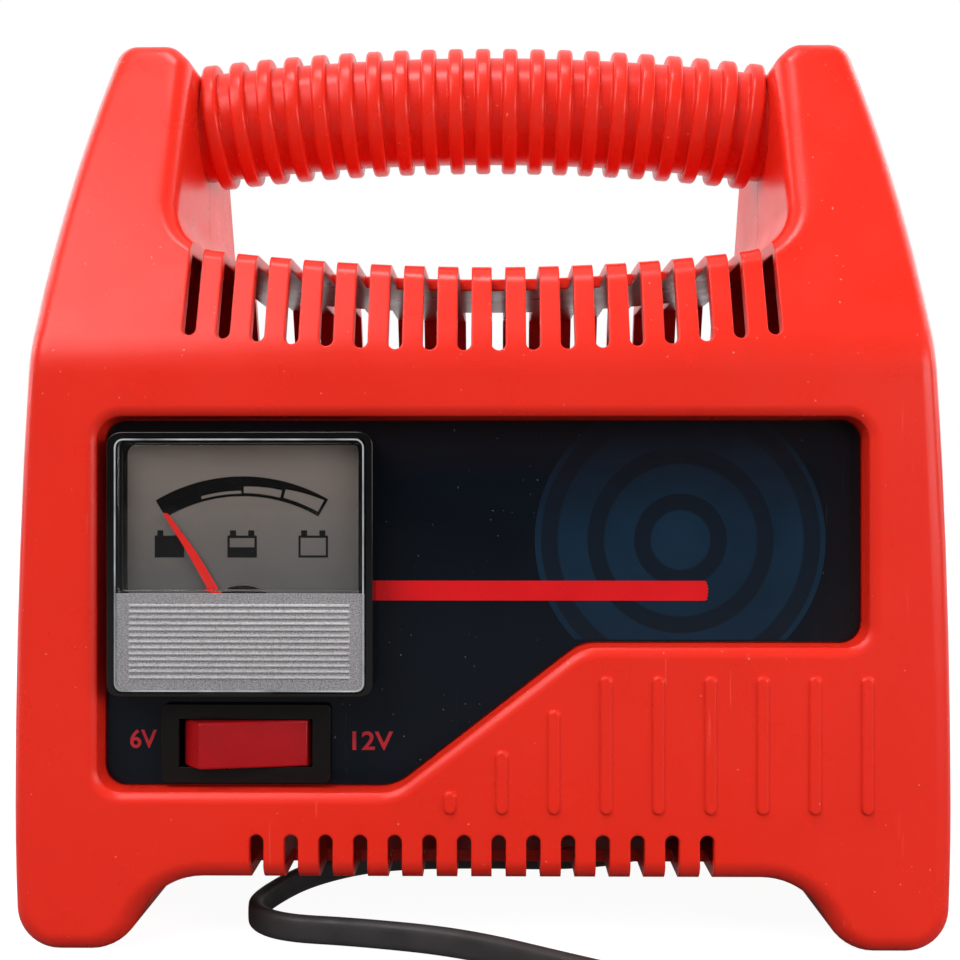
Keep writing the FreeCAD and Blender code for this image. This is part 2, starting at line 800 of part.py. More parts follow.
rear_cover = part("rear_cover", cut(
    "rear_cover_form", rear_filled, top_slots, bottom_slots,
    *at_screws("screw_hole", "screw_hole_radius", "screw_seat_depth + 1", REARWARD),
    *at_screws("screw_well", "screw_head_radius + screw_well_gap", "body_depth", REARWARD, "screw_seat_depth"),
    *mount_pilots, sink_pilot, *outlet_holes,
))


# Screws along Y, with a cross recess in the head

def screw(name, radius, length, head_radius, head_height, way, **place):
    """A pan head screw whose head points to the rear with way 1 and to the front with way -1."""
    tipward, headward = (FRONT, REARWARD) if way > 0 else (REARWARD, FRONT)
    shank = cylinder(name + "_shank", radius, length, tipward, **place)
    head = cylinder(name + "_head", head_radius, head_height, headward, **place)
    depth = f"{head_height} * 0.6"
    seat = place["y"]
    top = f"{seat} + {head_height} - {depth}" if way > 0 else f"{seat} - {head_height}"
    bars_of_cross = []
    for index, (long_side, high_side) in enumerate([(1.2, 0.25), (0.25, 1.2)]):
        bars_of_cross.append(block(
            f"{name}_cross_{index}", f"{head_radius} * {long_side}", depth, f"{head_radius} * {high_side}",
            x=f"{place['x']} - {head_radius} * {long_side / 2}", y=top,
            z=f"{place['z']} - {head_radius} * {high_side / 2}"))
    return cut(name, fused(name + "_blank", shank, head), *bars_of_cross)


part("case_screws", group("case_screw_set", *[
    screw(f"case_screw_{place}", "screw_radius", "screw_length", "screw_head_radius", "screw_head_height", 1,
          x=x, y="screw_seat_depth", z=z) for place, x, z in SCREW_PLACES]))


# Bodies that are drawn and padded

def new_body(name):
    made = doc.addObject("PartDesign::Body", name + "_body")
    return part(name, made)


def on_plane(holder, name, role, geometry, ahead="0"):
    """A sketch on one of the body's own planes, moved along the plane's normal."""
    plane = next(item for item in holder.Origin.OriginFeatures if item.Role == role)
    drawing = holder.newObject("Sketcher::SketchObject", name)
    drawing.AttachmentSupport = [(plane, "")]
    drawing.MapMode = "FlatFace"
    drawing.setExpression(".AttachmentOffset.Base.z", bound(ahead))
    drawing.addGeometry(geometry, False)
    return drawing


def front_drawing(holder, name, geometry, ahead):
    """A sketch that faces the viewer at a distance ahead of the seam."""
    return on_plane(holder, name, "XZ_Plane", geometry, ahead)


def pad(holder, name, drawing, length, rearward=False):
    feature = holder.newObject("PartDesign::Pad", name)
    feature.Profile = drawing
    feature.Reversed = rearward
    bind(feature, Length=length)
    return feature


def pocket(holder, name, drawing, length, forward=False):
    """Cut to the rear of the sketch, or forward of it."""
    feature = holder.newObject("PartDesign::Pocket", name)
    feature.Profile = drawing
    feature.Reversed = forward
    bind(feature, Length=length)
    return feature


def hole_outlines(gap):
    """The meter's and the switch's openings with a gap all round."""
    outlines = circle(size("meter_centre"), size("barrel_height"), size("barrel_radius") + gap)
    middle = size("meter_base + meter_height / 2")
    for side in (-1, 1):
        for level in (-1, 1):
            outlines += circle(size("meter_centre") + side * size("stud_offset"),
                               middle + level * size("stud_offset"), size("stud_radius") + gap)
    outlines += box_outline(size("switch_centre"), size("switch_height"), size("switch_body_width") + 2 * gap,
                            size("switch_body_height") + 2 * gap)
    return outlines


def front_panel():
    """Thin plate that lies on the floor of the window."""
    holder = new_body("front_panel")
    outline = Part.Face(Part.Wire(Part.__sortEdges__([piece.toShape() for piece in recess_outline()])))
    smaller = outline.makeOffset2D(-size("panel_clearance"))
    edges = [edge_geometry(edge) for edge in smaller.Edges]
    plate = pad(holder, "panel_plate", front_drawing(holder, "panel_outline", edges, FLOOR_AHEAD),
                "panel_thickness")
    holes = front_drawing(holder, "panel_holes", hole_outlines(size("stud_clearance")), PANEL_AHEAD)
    pocket(holder, "panel_openings", holes, "panel_thickness")
    return plate


def edge_geometry(edge):
    """A line or an arc through the ends and the middle of an edge."""
    first, last = edge.FirstParameter, edge.LastParameter
    start, end = edge.valueAt(first), edge.valueAt(last)
    if edge.Curve.TypeId == "Part::GeomLine":
        return line(start, end)
    return Part.Arc(start, edge.valueAt((first + last) / 2), end)


front_panel()


# Panel meter

METER_MIDDLE = "meter_base + meter_height / 2"
RIM_AHEAD = f"{PANEL_AHEAD} + meter_rim_depth"
DIAL_AHEAD = f"{PANEL_AHEAD} + meter_floor"
BARREL_AHEAD = f"{PANEL_AHEAD} - barrel_length"
BRIDGE_AHEAD = f"{BARREL_AHEAD} + barrel_wall"


def meter_frame(shrink, radius_floor=0.8):
    """A rounded square about the meter's middle, smaller all round."""
    radius = max(size("meter_corner_radius") - shrink, radius_floor)
    return box_outline(size("meter_centre"), size(METER_MIDDLE), size("meter_width") - 2 * shrink,
                       size("meter_height") - 2 * shrink, radius)


def meter_case():
    """Square bezel tray in front of the panel with a round barrel behind it."""
    holder = new_body("meter_case")
    pad(holder, "bezel", front_drawing(holder, "bezel_outline", meter_frame(0), PANEL_AHEAD), "meter_rim_depth")
    tray_drawing = front_drawing(holder, "tray_inside", meter_frame(size("meter_rim_wall")), RIM_AHEAD)
    pocket(holder, "bezel_tray", tray_drawing, "meter_rim_depth - meter_floor")
    tube = circle(size("meter_centre"), size("barrel_height"), size("barrel_radius"))
    pad(holder, "barrel", front_drawing(holder, "barrel_outline", tube, PANEL_AHEAD), "barrel_length", True)
    inside = circle(size("meter_centre"), size("barrel_height"), size("barrel_radius - barrel_wall"))
    pocket(holder, "barrel_bore", front_drawing(holder, "barrel_inside", inside, DIAL_AHEAD),
           "meter_floor + barrel_length - barrel_wall")


COVER_SHRINK = "meter_rim_wall + meter_fit"
COVER_BACK = f"{DIAL_AHEAD} + meter_fit"
COVER_FRONT = f"{RIM_AHEAD} + meter_cover_proud"


def window_outline(shrink):
    """The lower window's place in the cover's front."""
    width = size(f"meter_width - 2 * ({COVER_SHRINK})") - 2 * shrink
    low = size(f"meter_base + {COVER_SHRINK}") + shrink
    high = size(f"meter_base + {COVER_SHRINK} + meter_window_height")
    return box_outline(size("meter_centre"), (low + high) / 2, width, high - low)


def meter_cover():
    """Clear cap that drops into the bezel, set back in front for the lower window."""
    holder = new_body("meter_cover")
    drawing = front_drawing(holder, "cover_outline", meter_frame(size(COVER_SHRINK)), COVER_BACK)
    pad(holder, "cover_block", drawing, f"{COVER_FRONT} - ({COVER_BACK})")
    inside = meter_frame(size(f"{COVER_SHRINK} + meter_cover_skirt"), 0.5)
    hollow = pocket(holder, "cover_inside", front_drawing(holder, "cover_hollow", inside, COVER_BACK),
                    f"{COVER_FRONT} - ({COVER_BACK}) - meter_cover_face", True)
    step = pocket(holder, "window_seat",
                  front_drawing(holder, "window_seat_outline", window_outline(-1.0), COVER_FRONT),
                  "meter_window_thickness")
    return hollow, step


def meter_window():
    """Frosted trim plate with fine raised ribs, flush with the clear cover."""
    holder = new_body("meter_window")
    corner = size("meter_corner_radius") - size(COVER_SHRINK)
    width = size(f"meter_width - 2 * ({COVER_SHRINK})")
    low = size(f"meter_base + {COVER_SHRINK}")
    high = size(f"meter_base + {COVER_SHRINK} + meter_window_height")
    left, right = size("meter_centre") - width / 2, size("meter_centre") + width / 2
    outline = rounded([(left, low, corner), (right, low, corner), (right, high, 0), (left, high, 0)])
    pad(holder, "window_plate",
        front_drawing(holder, "window_outline", outline, f"{COVER_FRONT} - meter_window_thickness"),
        "meter_window_thickness - meter_window_rib_relief")
    middle, count = (low + high) / 2, int(size("meter_window_rib_count"))
    ribs = []
    for index in range(count):
        z = middle + (index - (count - 1) / 2) * size("meter_window_rib_pitch")
        ribs += box_outline(size("meter_centre"), z, size("meter_window_rib_length"),
                            size("meter_window_rib_pitch / 2"))
    pad(holder, "window_ribs",
        front_drawing(holder, "window_rib_outlines", ribs, f"{COVER_FRONT} - meter_window_rib_relief"),
        "meter_window_rib_relief")


def meter_dial():
    """Thin dial plate with a round opening for the needle's hub."""
    holder = new_body("meter_dial")
    shrink = size(f"{COVER_SHRINK} + meter_cover_skirt + dial_clearance")
    outline = box_outline(size("meter_centre"), size(METER_MIDDLE), size("meter_width") - 2 * shrink,
                          size("meter_height") - 2 * shrink, size("dial_corner_radius"))
    pad(holder, "dial_plate", front_drawing(holder, "dial_outline", outline, DIAL_AHEAD), "dial_thickness")
    hub_hole = circle(size("meter_centre"), size("pivot_height"), size("dial_hole_radius"))
    pocket(holder, "dial_opening", front_drawing(holder, "dial_hole", hub_hole, f"{DIAL_AHEAD} + dial_thickness"),
           "dial_thickness")


NEEDLE_AHEAD = f"{DIAL_AHEAD} + dial_thickness + needle_gap"


def meter_needle():
    """Pointer with a slanted tip, a hub on the shaft and a short tail."""
    holder = new_body("meter_needle")
    lean = math.radians(90 + size("needle_angle"))
    along, aside = Vector(math.cos(lean), math.sin(lean), 0), Vector(-math.sin(lean), math.cos(lean), 0)
    pivot = flat_point(size("meter_centre"), size("pivot_height"))
    half, tip, tail = size("needle_width / 2"), size("needle_length"), size("needle_tail")
    corners = [pivot + along * reach + aside * shift for reach, shift in
               [(-tail, -half), (tip - half * 4, -half), (tip, half * 0.8), (tip - half, half), (-tail, half)]]
    blade = rounded([(corner.x, corner.y, 0) for corner in corners])
    pad(holder, "blade", front_drawing(holder, "blade_outline", blade, NEEDLE_AHEAD), "needle_thickness")
    hub = circle(pivot.x, pivot.y, size("needle_hub_radius"))
    pad(holder, "hub", front_drawing(holder, "hub_outline", hub, NEEDLE_AHEAD), "needle_thickness * 2")
    eye = circle(pivot.x, pivot.y, size("pivot_shaft_radius"))
    pocket(holder, "eye", front_drawing(holder, "eye_outline", eye, NEEDLE_AHEAD), "needle_thickness * 2", True)


meter_case()
meter_cover()
meter_window()
meter_dial()
meter_needle()

AT_PIVOT = {"x": "meter_centre", "z": "pivot_height"}
shaft = cylinder("pivot_shaft", "pivot_shaft_radius",
                 f"{NEEDLE_AHEAD} + needle_thickness * 2 - ({BRIDGE_AHEAD} + shaft_end_gap)",
                 FRONT, y=f"-({BRIDGE_AHEAD} + shaft_end_gap)", **AT_PIVOT)
COIL_AHEAD = f"{BRIDGE_AHEAD} + bridge_thickness + (movement_length - coil_length) / 2"
coil_drum = cylinder("coil_drum", "coil_radius", "coil_length", FRONT, y=f"-({COIL_AHEAD})", **AT_PIVOT)
coil_waist = cylinder("coil_waist", "coil_radius * 2", "coil_length * 0.6", FRONT,
                      y=f"-({COIL_AHEAD} + coil_length * 0.2)", **AT_PIVOT)
coil_core = cylinder("coil_core", "coil_radius * 0.85", "coil_length * 0.6", FRONT,
                     y=f"-({COIL_AHEAD} + coil_length * 0.2)", **AT_PIVOT)
part("moving_coil", fused("moving_coil_form", cut("coil_spool", coil_drum, coil_waist), coil_core, shaft))

bridge = block("bridge", "bridge_width", "bridge_thickness", "(barrel_height - pivot_height) * 2.6",
               x="meter_centre - bridge_width / 2", y=f"-({BRIDGE_AHEAD} + bridge_thickness)",
               z="pivot_height - movement_radius + movement_wall")
ring = cut("magnet_ring",
           cylinder("ring_outside", "movement_radius", "movement_length + bridge_thickness", FRONT,
                    y=f"-({BRIDGE_AHEAD})", **AT_PIVOT),
           cylinder("ring_inside", "movement_radius - movement_wall", "movement_length + bridge_thickness", FRONT,
                    y=f"-({BRIDGE_AHEAD} + bridge_thickness)", **AT_PIVOT))
bearing = cylinder("bearing_hole", "pivot_shaft_radius + shaft_clearance", "bridge_thickness * 3", FRONT,
                   y=f"-({BRIDGE_AHEAD} - bridge_thickness)", **AT_PIVOT)
part("meter_movement", cut("meter_movement_form", fused("movement_blank", bridge, ring), bearing))

STUD_PLACES = [(side, level) for side in (-1, 1) for level in (-1, 1)]
TRAY_REAR = f"{FLOOR_AHEAD} - tray_floor"


studs, nuts = [], []
for index, (side, level) in enumerate(STUD_PLACES):
    spot = {"x": f"meter_centre + {side} * stud_offset", "z": f"{METER_MIDDLE} + {level} * stud_offset"}
    studs.append(cylinder(f"meter_stud_{index}", "stud_radius", "stud_length", REARWARD,
                          y=f"-({PANEL_AHEAD})", **spot))
    nut_drawing = sketch(f"nut_outline_{index}", REARWARD, regular_outline(6, size("nut_across") / math.sqrt(3)),
                         y=f"-({TRAY_REAR})", **spot)
    nut_bore = cylinder(f"nut_bore_{index}", "stud_radius + screw_clearance", "nut_thickness * 3", REARWARD,
                        y=f"-({TRAY_REAR} + nut_thickness)", **spot)
    nuts.append(cut(f"meter_nut_{index}", prism(f"nut_blank_{index}", nut_drawing, "nut_thickness"), nut_bore))
part("meter_studs", group("meter_stud_set", *studs))
part("meter_nuts", group("meter_nut_set", *nuts))


def blades(name, count, pitch, width, thickness, length, **place):
    """A row of flat terminals that stand on a rear face, side by side along X."""
    row_of_blades = []
    for index in range(count):
        shift = index - (count - 1) / 2
        row_of_blades.append(block(f"{name}_{index}", thickness, length, width,
                                   x=f"{place['x']} + {shift} * {pitch} - {thickness} / 2", y=place["y"],
                                   z=f"{place['z']} - {width} / 2"))
    return group(name + "_set", *row_of_blades)


part("meter_terminals", blades("meter_terminal", 2, "meter_tab_spacing", "meter_tab_width", "meter_tab_thickness",
                               "meter_tab_length", x="meter_centre", y=f"-({BARREL_AHEAD})", z="barrel_height"))


# Rocker switch

FRAME_AHEAD = f"{PANEL_AHEAD} + switch_frame_proud"
SWITCH_REAR = f"{PANEL_AHEAD} - switch_body_depth"
ROCKER_AHEAD = f"{PANEL_AHEAD} - rocker_pivot_depth"


def switch_body():
    """Flanged body with a well for the rocker and holes for its pins."""
    holder = new_body("switch_body")
    x, z = size("switch_centre"), size("switch_height")
    flange = box_outline(x, z, size("switch_frame_width"), size("switch_frame_height"), size("switch_frame_corner"))
    pad(holder, "flange", front_drawing(holder, "flange_outline", flange, PANEL_AHEAD), "switch_frame_proud")
    rear_box = box_outline(x, z, size("switch_body_width"), size("switch_body_height"))
    pad(holder, "rear_box", front_drawing(holder, "rear_box_outline", rear_box, PANEL_AHEAD),
        "switch_body_depth", True)
    well = box_outline(x, z, size("switch_well_width"), size("switch_well_height"))
    pocket(holder, "well", front_drawing(holder, "well_outline", well, FRAME_AHEAD),
           "switch_frame_proud + switch_body_depth - switch_floor")
    pin_hole = circle(x, -size(ROCKER_AHEAD), size("rocker_pin_radius + shaft_clearance"))
    hole_drawing = on_plane(holder, "pin_hole_outline", "XY_Plane", pin_hole,
                            "switch_height + switch_body_height / 2")
    pocket(holder, "pin_hole", hole_drawing, "switch_body_height")


def switch_rocker():
    """Rocker with a flat face and ends struck about its pins, tilted with its right end pressed."""
    rise, half, foot = size("rocker_face_rise"), size("rocker_half_length"), size("rocker_foot")
    foot_half, tilt = size("rocker_foot_half"), size("rocker_tilt")
    end_radius = math.hypot(half, rise)
    face_angle = math.degrees(math.atan2(-rise, half))
    end_centre = flat_point(0, 0)
    level = flat_point(end_radius, 0)
    outline = [
        line(flat_point(-half, -rise), flat_point(half, -rise)),
        arc_about(end_centre, end_radius, face_angle, 0),
        line(level, flat_point(foot_half, foot)),
        line(flat_point(foot_half, foot), flat_point(-foot_half, foot)),
        line(flat_point(-foot_half, foot), flat_point(-end_radius, 0)),
        arc_about(end_centre, end_radius, 180, 180 - face_angle),
    ]
    place = {"x": "switch_centre", "y": f"-({ROCKER_AHEAD})"}
    turn = Rotation(Vector(0, 0, 1), tilt)
    drawing = sketch("rocker_outline", turn, outline, z="switch_height - rocker_height / 2", **place)
    key = prism("rocker_key", drawing, "rocker_height")
    pin = cylinder("rocker_pin", "rocker_pin_radius", "switch_well_height + rocker_pin_reach * 2", FLAT,
                   z="switch_height - switch_well_height / 2 - rocker_pin_reach", **place)
    key_edge = size("rocker_edge")
    ahead_of_pin = -size(ROCKER_AHEAD) - rise / 2

    def face_edge(shape, edge):
        middle = edge.valueAt((edge.FirstParameter + edge.LastParameter) / 2)
        return key_edge if middle.y < ahead_of_pin else 0

    part("switch_rocker", fused("switch_rocker_form", softened("rocker_soft", key, face_edge), pin))


switch_body()
switch_rocker()
part("switch_terminals", blades("switch_terminal", 3, "switch_terminal_pitch", "switch_terminal_width",
                                "switch_terminal_thickness", "switch_terminal_length",
                                x="switch_centre", y=f"-({SWITCH_REAR})", z="switch_height"))


# Transformer

CORE_MIDDLE = "core_base + core_height / 2"
WINDOW_HEIGHT = "core_height - 2 * core_limb"
WINDOW_BASE = "core_base + core_limb"


def transformer_core():
    """Stack of E and I laminations with a window on each side of the middle limb."""
    holder = new_body("transformer_core")
    x, z = size("core_centre"), size(CORE_MIDDLE)
    outline = box_outline(x, z, size("core_width"), size("core_height"))
    window = size("(core_width - 4 * core_limb) / 2")
    for side in (-1, 1):
        middle = x + side * (size("core_limb") + window / 2)
        outline += box_outline(middle, z, window, size(WINDOW_HEIGHT))
    pad(holder, "stack", front_drawing(holder, "lamination", outline, "-core_stack / 2"), "core_stack")


def upright_block(name, half_x, half_y, base, height):
    """A block about the transformer's middle limb."""
    return block(name, f"2 * ({half_x})", f"2 * ({half_y})", height, x=f"core_centre - ({half_x})",
                 y=f"-({half_y})", z=base)


transformer_core()
LIMB_X, LIMB_Y = "core_limb + core_clearance", "core_stack / 2 + core_clearance"
SLEEVE_X, SLEEVE_Y = f"{LIMB_X} + bobbin_wall", f"{LIMB_Y} + bobbin_wall"
FLANGE_X, FLANGE_Y = "core_width / 2 - core_limb - core_clearance", f"{SLEEVE_Y} + winding_build"
BOBBIN_BASE, BOBBIN_HEIGHT = f"{WINDOW_BASE} + core_clearance", f"{WINDOW_HEIGHT} - 2 * core_clearance"
WINDING_HEIGHT = f"({BOBBIN_HEIGHT} - 3 * bobbin_wall) / 2"
WINDING_BASES = {
    "primary_winding": f"{BOBBIN_BASE} + bobbin_wall",
    "secondary_winding": f"{BOBBIN_BASE} + 2 * bobbin_wall + {WINDING_HEIGHT}",
}
winding_spaces = []
for name, base in WINDING_BASES.items():
    outside = upright_block(name + "_space", f"{FLANGE_X} + 1", f"{FLANGE_Y} + 1", base, WINDING_HEIGHT)
    sleeve = upright_block(name + "_sleeve", SLEEVE_X, SLEEVE_Y, base, WINDING_HEIGHT)
    winding_spaces.append(cut(name + "_ring", outside, sleeve))

    wound = upright_block(name + "_wound", f"{FLANGE_X} - 0.3", f"{FLANGE_Y} - 0.3", base, WINDING_HEIGHT)
    corner = size("winding_build * 0.6")

    def upright_edge(shape, edge):
        return corner if abs(edge.tangentAt(edge.FirstParameter).z) > 0.99 else 0

    part(name, cut(name + "_form", softened(name + "_soft", wound, upright_edge),
                   upright_block(name + "_core", SLEEVE_X, SLEEVE_Y, base, WINDING_HEIGHT)))
spool = upright_block("spool", FLANGE_X, FLANGE_Y, BOBBIN_BASE, BOBBIN_HEIGHT)
limb_hole = upright_block("limb_hole", LIMB_X, LIMB_Y, BOBBIN_BASE, BOBBIN_HEIGHT)
part("transformer_bobbin", cut("transformer_bobbin_form", spool, limb_hole, *winding_spaces))


def transformer_bracket():
    """Strap over the core with an ear bent out on each side."""
    holder = new_body("transformer_bracket")
    x, half = size("core_centre"), size("core_width / 2")
    low, top, sheet_metal = size("core_base + strap_foot"), size("core_base + core_height"), size("strap_thickness")
    strap = rounded([
        (x - half - sheet_metal, low, 0), (x - half, low, 0), (x - half, top, 0), (x + half, top, 0),
        (x + half, low, 0), (x + half + sheet_metal, low, 0),
        (x + half + sheet_metal, top + sheet_metal, sheet_metal), (x - half - sheet_metal, top + sheet_metal, sheet_metal),
    ])
    ear_front = "-core_stack / 2"
    pad(holder, "strap", front_drawing(holder, "strap_outline", strap, f"-({EAR_REAR})"),
        "strap_reach + strap_thickness")
    ears = []
    for side in (-1, 1):
        ears += box_outline(x + side * (half + sheet_metal + size("strap_ear / 2")), size(CORE_MIDDLE),
                            size("strap_ear"), size("strap_ear_height"))
    pad(holder, "ears", front_drawing(holder, "ear_outlines", ears, ear_front), "strap_thickness", True)
    holes = []
    for side in (-1, 1):
        holes += circle(size(mount_place(side)), size(CORE_MIDDLE), size("strap_hole_radius"))
    pocket(holder, "ear_holes", front_drawing(holder, "ear_hole_outlines", holes, ear_front), "strap_thickness")


transformer_bracket()
part("transformer_screws", group("transformer_screw_set", *[
    screw(f"transformer_screw_{side}", "mount_screw_radius", "mount_screw_length", "mount_head_radius",
          "mount_head_height", -1, x=mount_place(side), y="core_stack / 2", z=MOUNT_HEIGHT) for side in (-1, 1)]))


# Rectifier, overload breaker and mains terminals

SINK_FRONT = f"{SINK_REAR} - sink_thickness"
DIODE_BASE = "sink_base + diode_lead_length + 2"


def heat_sink():
    """Flat aluminium plate with holes for its screw and the diode leads."""
    holder = new_body("heat_sink")
    plate = box_outline(size("sink_centre"), size(SINK_MIDDLE), size("sink_width"), size("sink_height"), 2.0)
    pad(holder, "sink_plate", front_drawing(holder, "sink_outline", plate, f"-({SINK_REAR})"), "sink_thickness")
    hole = circle(size("sink_centre"), size(SINK_MIDDLE), size("mount_screw_radius + screw_clearance"))
    pocket(holder, "sink_hole", front_drawing(holder, "sink_hole_outline", hole, f"-({SINK_FRONT})"),
           "sink_thickness")


heat_sink()
diodes = []
for side in (-1, 1):
    middle = f"sink_centre + {side} * diode_pitch / 2"
    diodes.append(block(f"diode_case_{side}", "diode_width", "diode_thickness", "diode_height",
                        x=f"{middle} - diode_width / 2", y=f"{SINK_FRONT} - diode_thickness", z=DIODE_BASE))
    for leg in (-1, 0, 1):
        diodes.append(block(f"diode_lead_{side}_{leg}", "diode_lead_width", "diode_lead_thickness",
                            "diode_lead_length", x=f"{middle} + {leg} * diode_lead_pitch - diode_lead_width / 2",
                            y=f"{SINK_FRONT} - diode_thickness / 2", z=f"{DIODE_BASE} - diode_lead_length"))
part("rectifier_diodes", group("rectifier_diode_set", *diodes))
part("heat_sink_screw", screw("heat_sink_screw_form", "mount_screw_radius", "sink_screw_length",
                              "mount_head_radius", "mount_head_height", -1,
                              x="sink_centre", y=SINK_FRONT, z=SINK_MIDDLE))

BREAKER_REST = f"{FLANGE_Y} - 0.3"
part("thermal_cutout", block("thermal_cutout_case", "breaker_width", "breaker_thickness", "breaker_height",
                             x="core_centre - breaker_width / 2", y=BREAKER_REST,
                             z=f"{WINDING_BASES['secondary_winding']} + ({WINDING_HEIGHT} - breaker_height) / 2"))


def terminal_block():
    """Screw terminal block with a wire way through each pole, on the rear shell's floor."""
    holder = new_body("terminal_block")
    x, rear = size("block_centre"), size("body_depth / 2 - wall - block_rear_gap")
    depth, height, width = size("block_depth"), size("block_height"), size("block_width")
    plan = box_outline(x, rear - depth / 2, width, depth)
    pad(holder, "block_base", on_plane(holder, "block_plan", "XY_Plane", plan, "arch_height + wall"), "block_height")
    ways, bores, wells = int(size("block_ways")), [], []
    for index in range(ways):
        place = x + (index - (ways - 1) / 2) * width / ways
        way = size("block_way")
        bores += box_outline(place, size("arch_height + wall") + height / 3, way, way)
        for end in (-1, 1):
            wells += box_outline(place, rear - depth / 2 + end * depth / 4, way, way)
    pocket(holder, "wire_ways", front_drawing(holder, "wire_way_outlines", bores, f"-({rear - depth})"),
           "block_depth")
    pocket(holder, "screw_wells", on_plane(holder, "screw_well_outlines", "XY_Plane", wells,
                                           "arch_height + wall + block_height"), "block_height / 2")


terminal_block()


# Bushings in the rear wall

def bushing(name, x):
    """Rubber bush: outer flange, neck through the wall and a lip behind it."""
    spot = {"x": x, "z": "outlet_height"}
    flange = cylinder(name + "_flange", "relief_flange_radius", "relief_flange", REARWARD, y="body_depth / 2", **spot)
    neck = cylinder(name + "_neck", "relief_neck_radius", "wall", REARWARD, y="body_depth / 2 - wall", **spot)
    lip = cylinder(name + "_lip", "relief_lip_radius", "relief_lip", REARWARD,
                   y="body_depth / 2 - wall - relief_lip", **spot)
    return [flange, neck, lip]


RELIEF_TIP = "body_depth / 2 + relief_flange + relief_tail"
tail = doc.addObject("Part::Loft", "relief_tail_form")
tail.Sections = [
    sketch("relief_root", REARWARD, regular_outline(8, size("relief_neck_radius")),
           x="mains_outlet_offset", y="body_depth / 2 + relief_flange", z="outlet_height"),
    sketch("relief_end", REARWARD, regular_outline(8, size("relief_tip_radius")),
           x="mains_outlet_offset", y=RELIEF_TIP, z="outlet_height"),
]
tail.Solid = True
tail.Ruled = True
part("mains_strain_relief", fused("mains_strain_relief_form", *bushing("relief", "mains_outlet_offset"), tail))
grommet_bore = cylinder("grommet_bore", "grommet_bore_radius", "wall * 6", REARWARD,
                        x="low_voltage_outlet_offset", y="body_depth / 2 - wall * 3", z="outlet_height")
part("outlet_grommet", cut("outlet_grommet_form",
                           fused("grommet_blank", *bushing("grommet", "low_voltage_outlet_offset")), grommet_bore))


# Mains lead: out of the rear, round under the body, folded at the left and forward to its coil

def lead_route():
    """Points of the lead from the strain relief's tip to the start of its coil."""
    tip = Vector(size("mains_outlet_offset"), size(RELIEF_TIP), size("outlet_height"))
    rest = size("lead_rest_height")
    start, heading = coil_station(0)
    middle = [
        (-12, 85.5, 25), (-9.5, 102.5, 14), (0, 113, 4.7), (17, 118.5, rest), (35, 114, rest), (46.5, 99, rest),
        (50, 76, rest), (48, 54, rest), (45, 34, rest), (38, 17, rest), (20, 9.5, rest), (-2, 11, rest),
        (-24, 9, rest), (-38, -3, rest), (-44.5, -18, rest), (-47, -31, rest), (-40, -40, rest),
        (-24, -42.5, rest), (-3, -48.5, rest), (16, -62, rest),
    ]
    end = start - heading * size("lead_width")
    return [tip] + [Vector(*point) for point in middle] + [end - heading * 16, end]


def coil_station(turns):
    """Place and heading of the coil after a number of turns from its outer start."""
    layer = size("coil_turns_per_layer")

    def place(at):
        radius = size("coil_mean_radius") + size("coil_pitch") * (abs(at - layer) - layer / 2)
        angle = math.radians(size("coil_start_angle") - 360 * at)
        rise = size("coil_lift") * smooth(at / 0.5)
        rise += size("coil_pitch") * smooth((at - layer + 0.25) / 0.5)
        return Vector(size("coil_centre_x") + radius * math.cos(angle),
                      size("coil_centre_y") + radius * math.sin(angle), size("lead_rest_height") + rise)

    small = 1e-4
    return place(turns), (place(turns + small) - place(turns - small)).normalize()


def smooth(share):
    """A level start, an even rise and a level end, from 0 to 1."""
    share = min(max(share, 0), 1)
    return share * share * (3 - 2 * share)


def rounded_route(points):
    """Straight runs joined by tangent arcs as large as the runs allow; the arcs' radii are printed."""
    edges, radii = [], []
    start = points[0]
    for before, corner, after in zip(points, points[1:], points[2:]):
        back, ahead = before - corner, after - corner
        half = back.getAngle(ahead) / 2
        turn = math.pi - 2 * half
        reach = 0.45 * min(back.Length, ahead.Length)
        radius = reach / math.tan(turn / 2)
        back, ahead = back.normalize(), ahead.normalize()
        enter, leave = corner + back * reach, corner + ahead * reach
        middle = corner + (back + ahead).normalize() * (radius / math.sin(half) - radius)
        edges += [line(start, enter).toShape(), Part.Arc(enter, middle, leave).toShape()]
        radii.append(round(radius, 1))
        start = leave
    edges.append(line(start, points[-1]).toShape())
    return Part.Wire(edges), radii


def biarc(start, start_heading, end, end_heading):
    """Two arcs that meet smoothly and join two places at their headings."""
    span, both = end - start, start_heading + end_heading
    spread = 2 * (1 - start_heading.dot(end_heading))
    reach = (math.sqrt(span.dot(both) ** 2 + spread * span.dot(span)) - span.dot(both)) / spread
    joint = (start + start_heading * reach + end - end_heading * reach) / 2
    arcs = []
    for low, high, control in [(start, joint, start + start_heading * reach), (joint, end, end - end_heading * reach)]:
        chord = high - low
        lean = chord.getAngle(control - low)
        rise = (control - (low + high) / 2).normalize() * (chord.Length / 2 * math.tan(lean / 2))
        arcs.append(Part.Arc(low, (low + high) / 2 + rise, high).toShape())
    return arcs


def coil_wire():
    """The coil's middle line: a straight end, quarter turns as pairs of arcs and a straight end."""
    quarters = int(size("coil_turns_per_layer * 2 * 4"))
    stations = [coil_station(index / 4) for index in range(quarters + 1)]
    width = size("lead_width")
    (first, first_heading), (last, last_heading) = stations[0], stations[-1]
    edges = [line(first - first_heading * width, first).toShape()]
    for (here, heading), (there, next_heading) in zip(stations, stations[1:]):
        edges += biarc(here, heading, there, next_heading)
    edges.append(line(last, last + last_heading * width).toShape())
    return Part.Wire(edges)


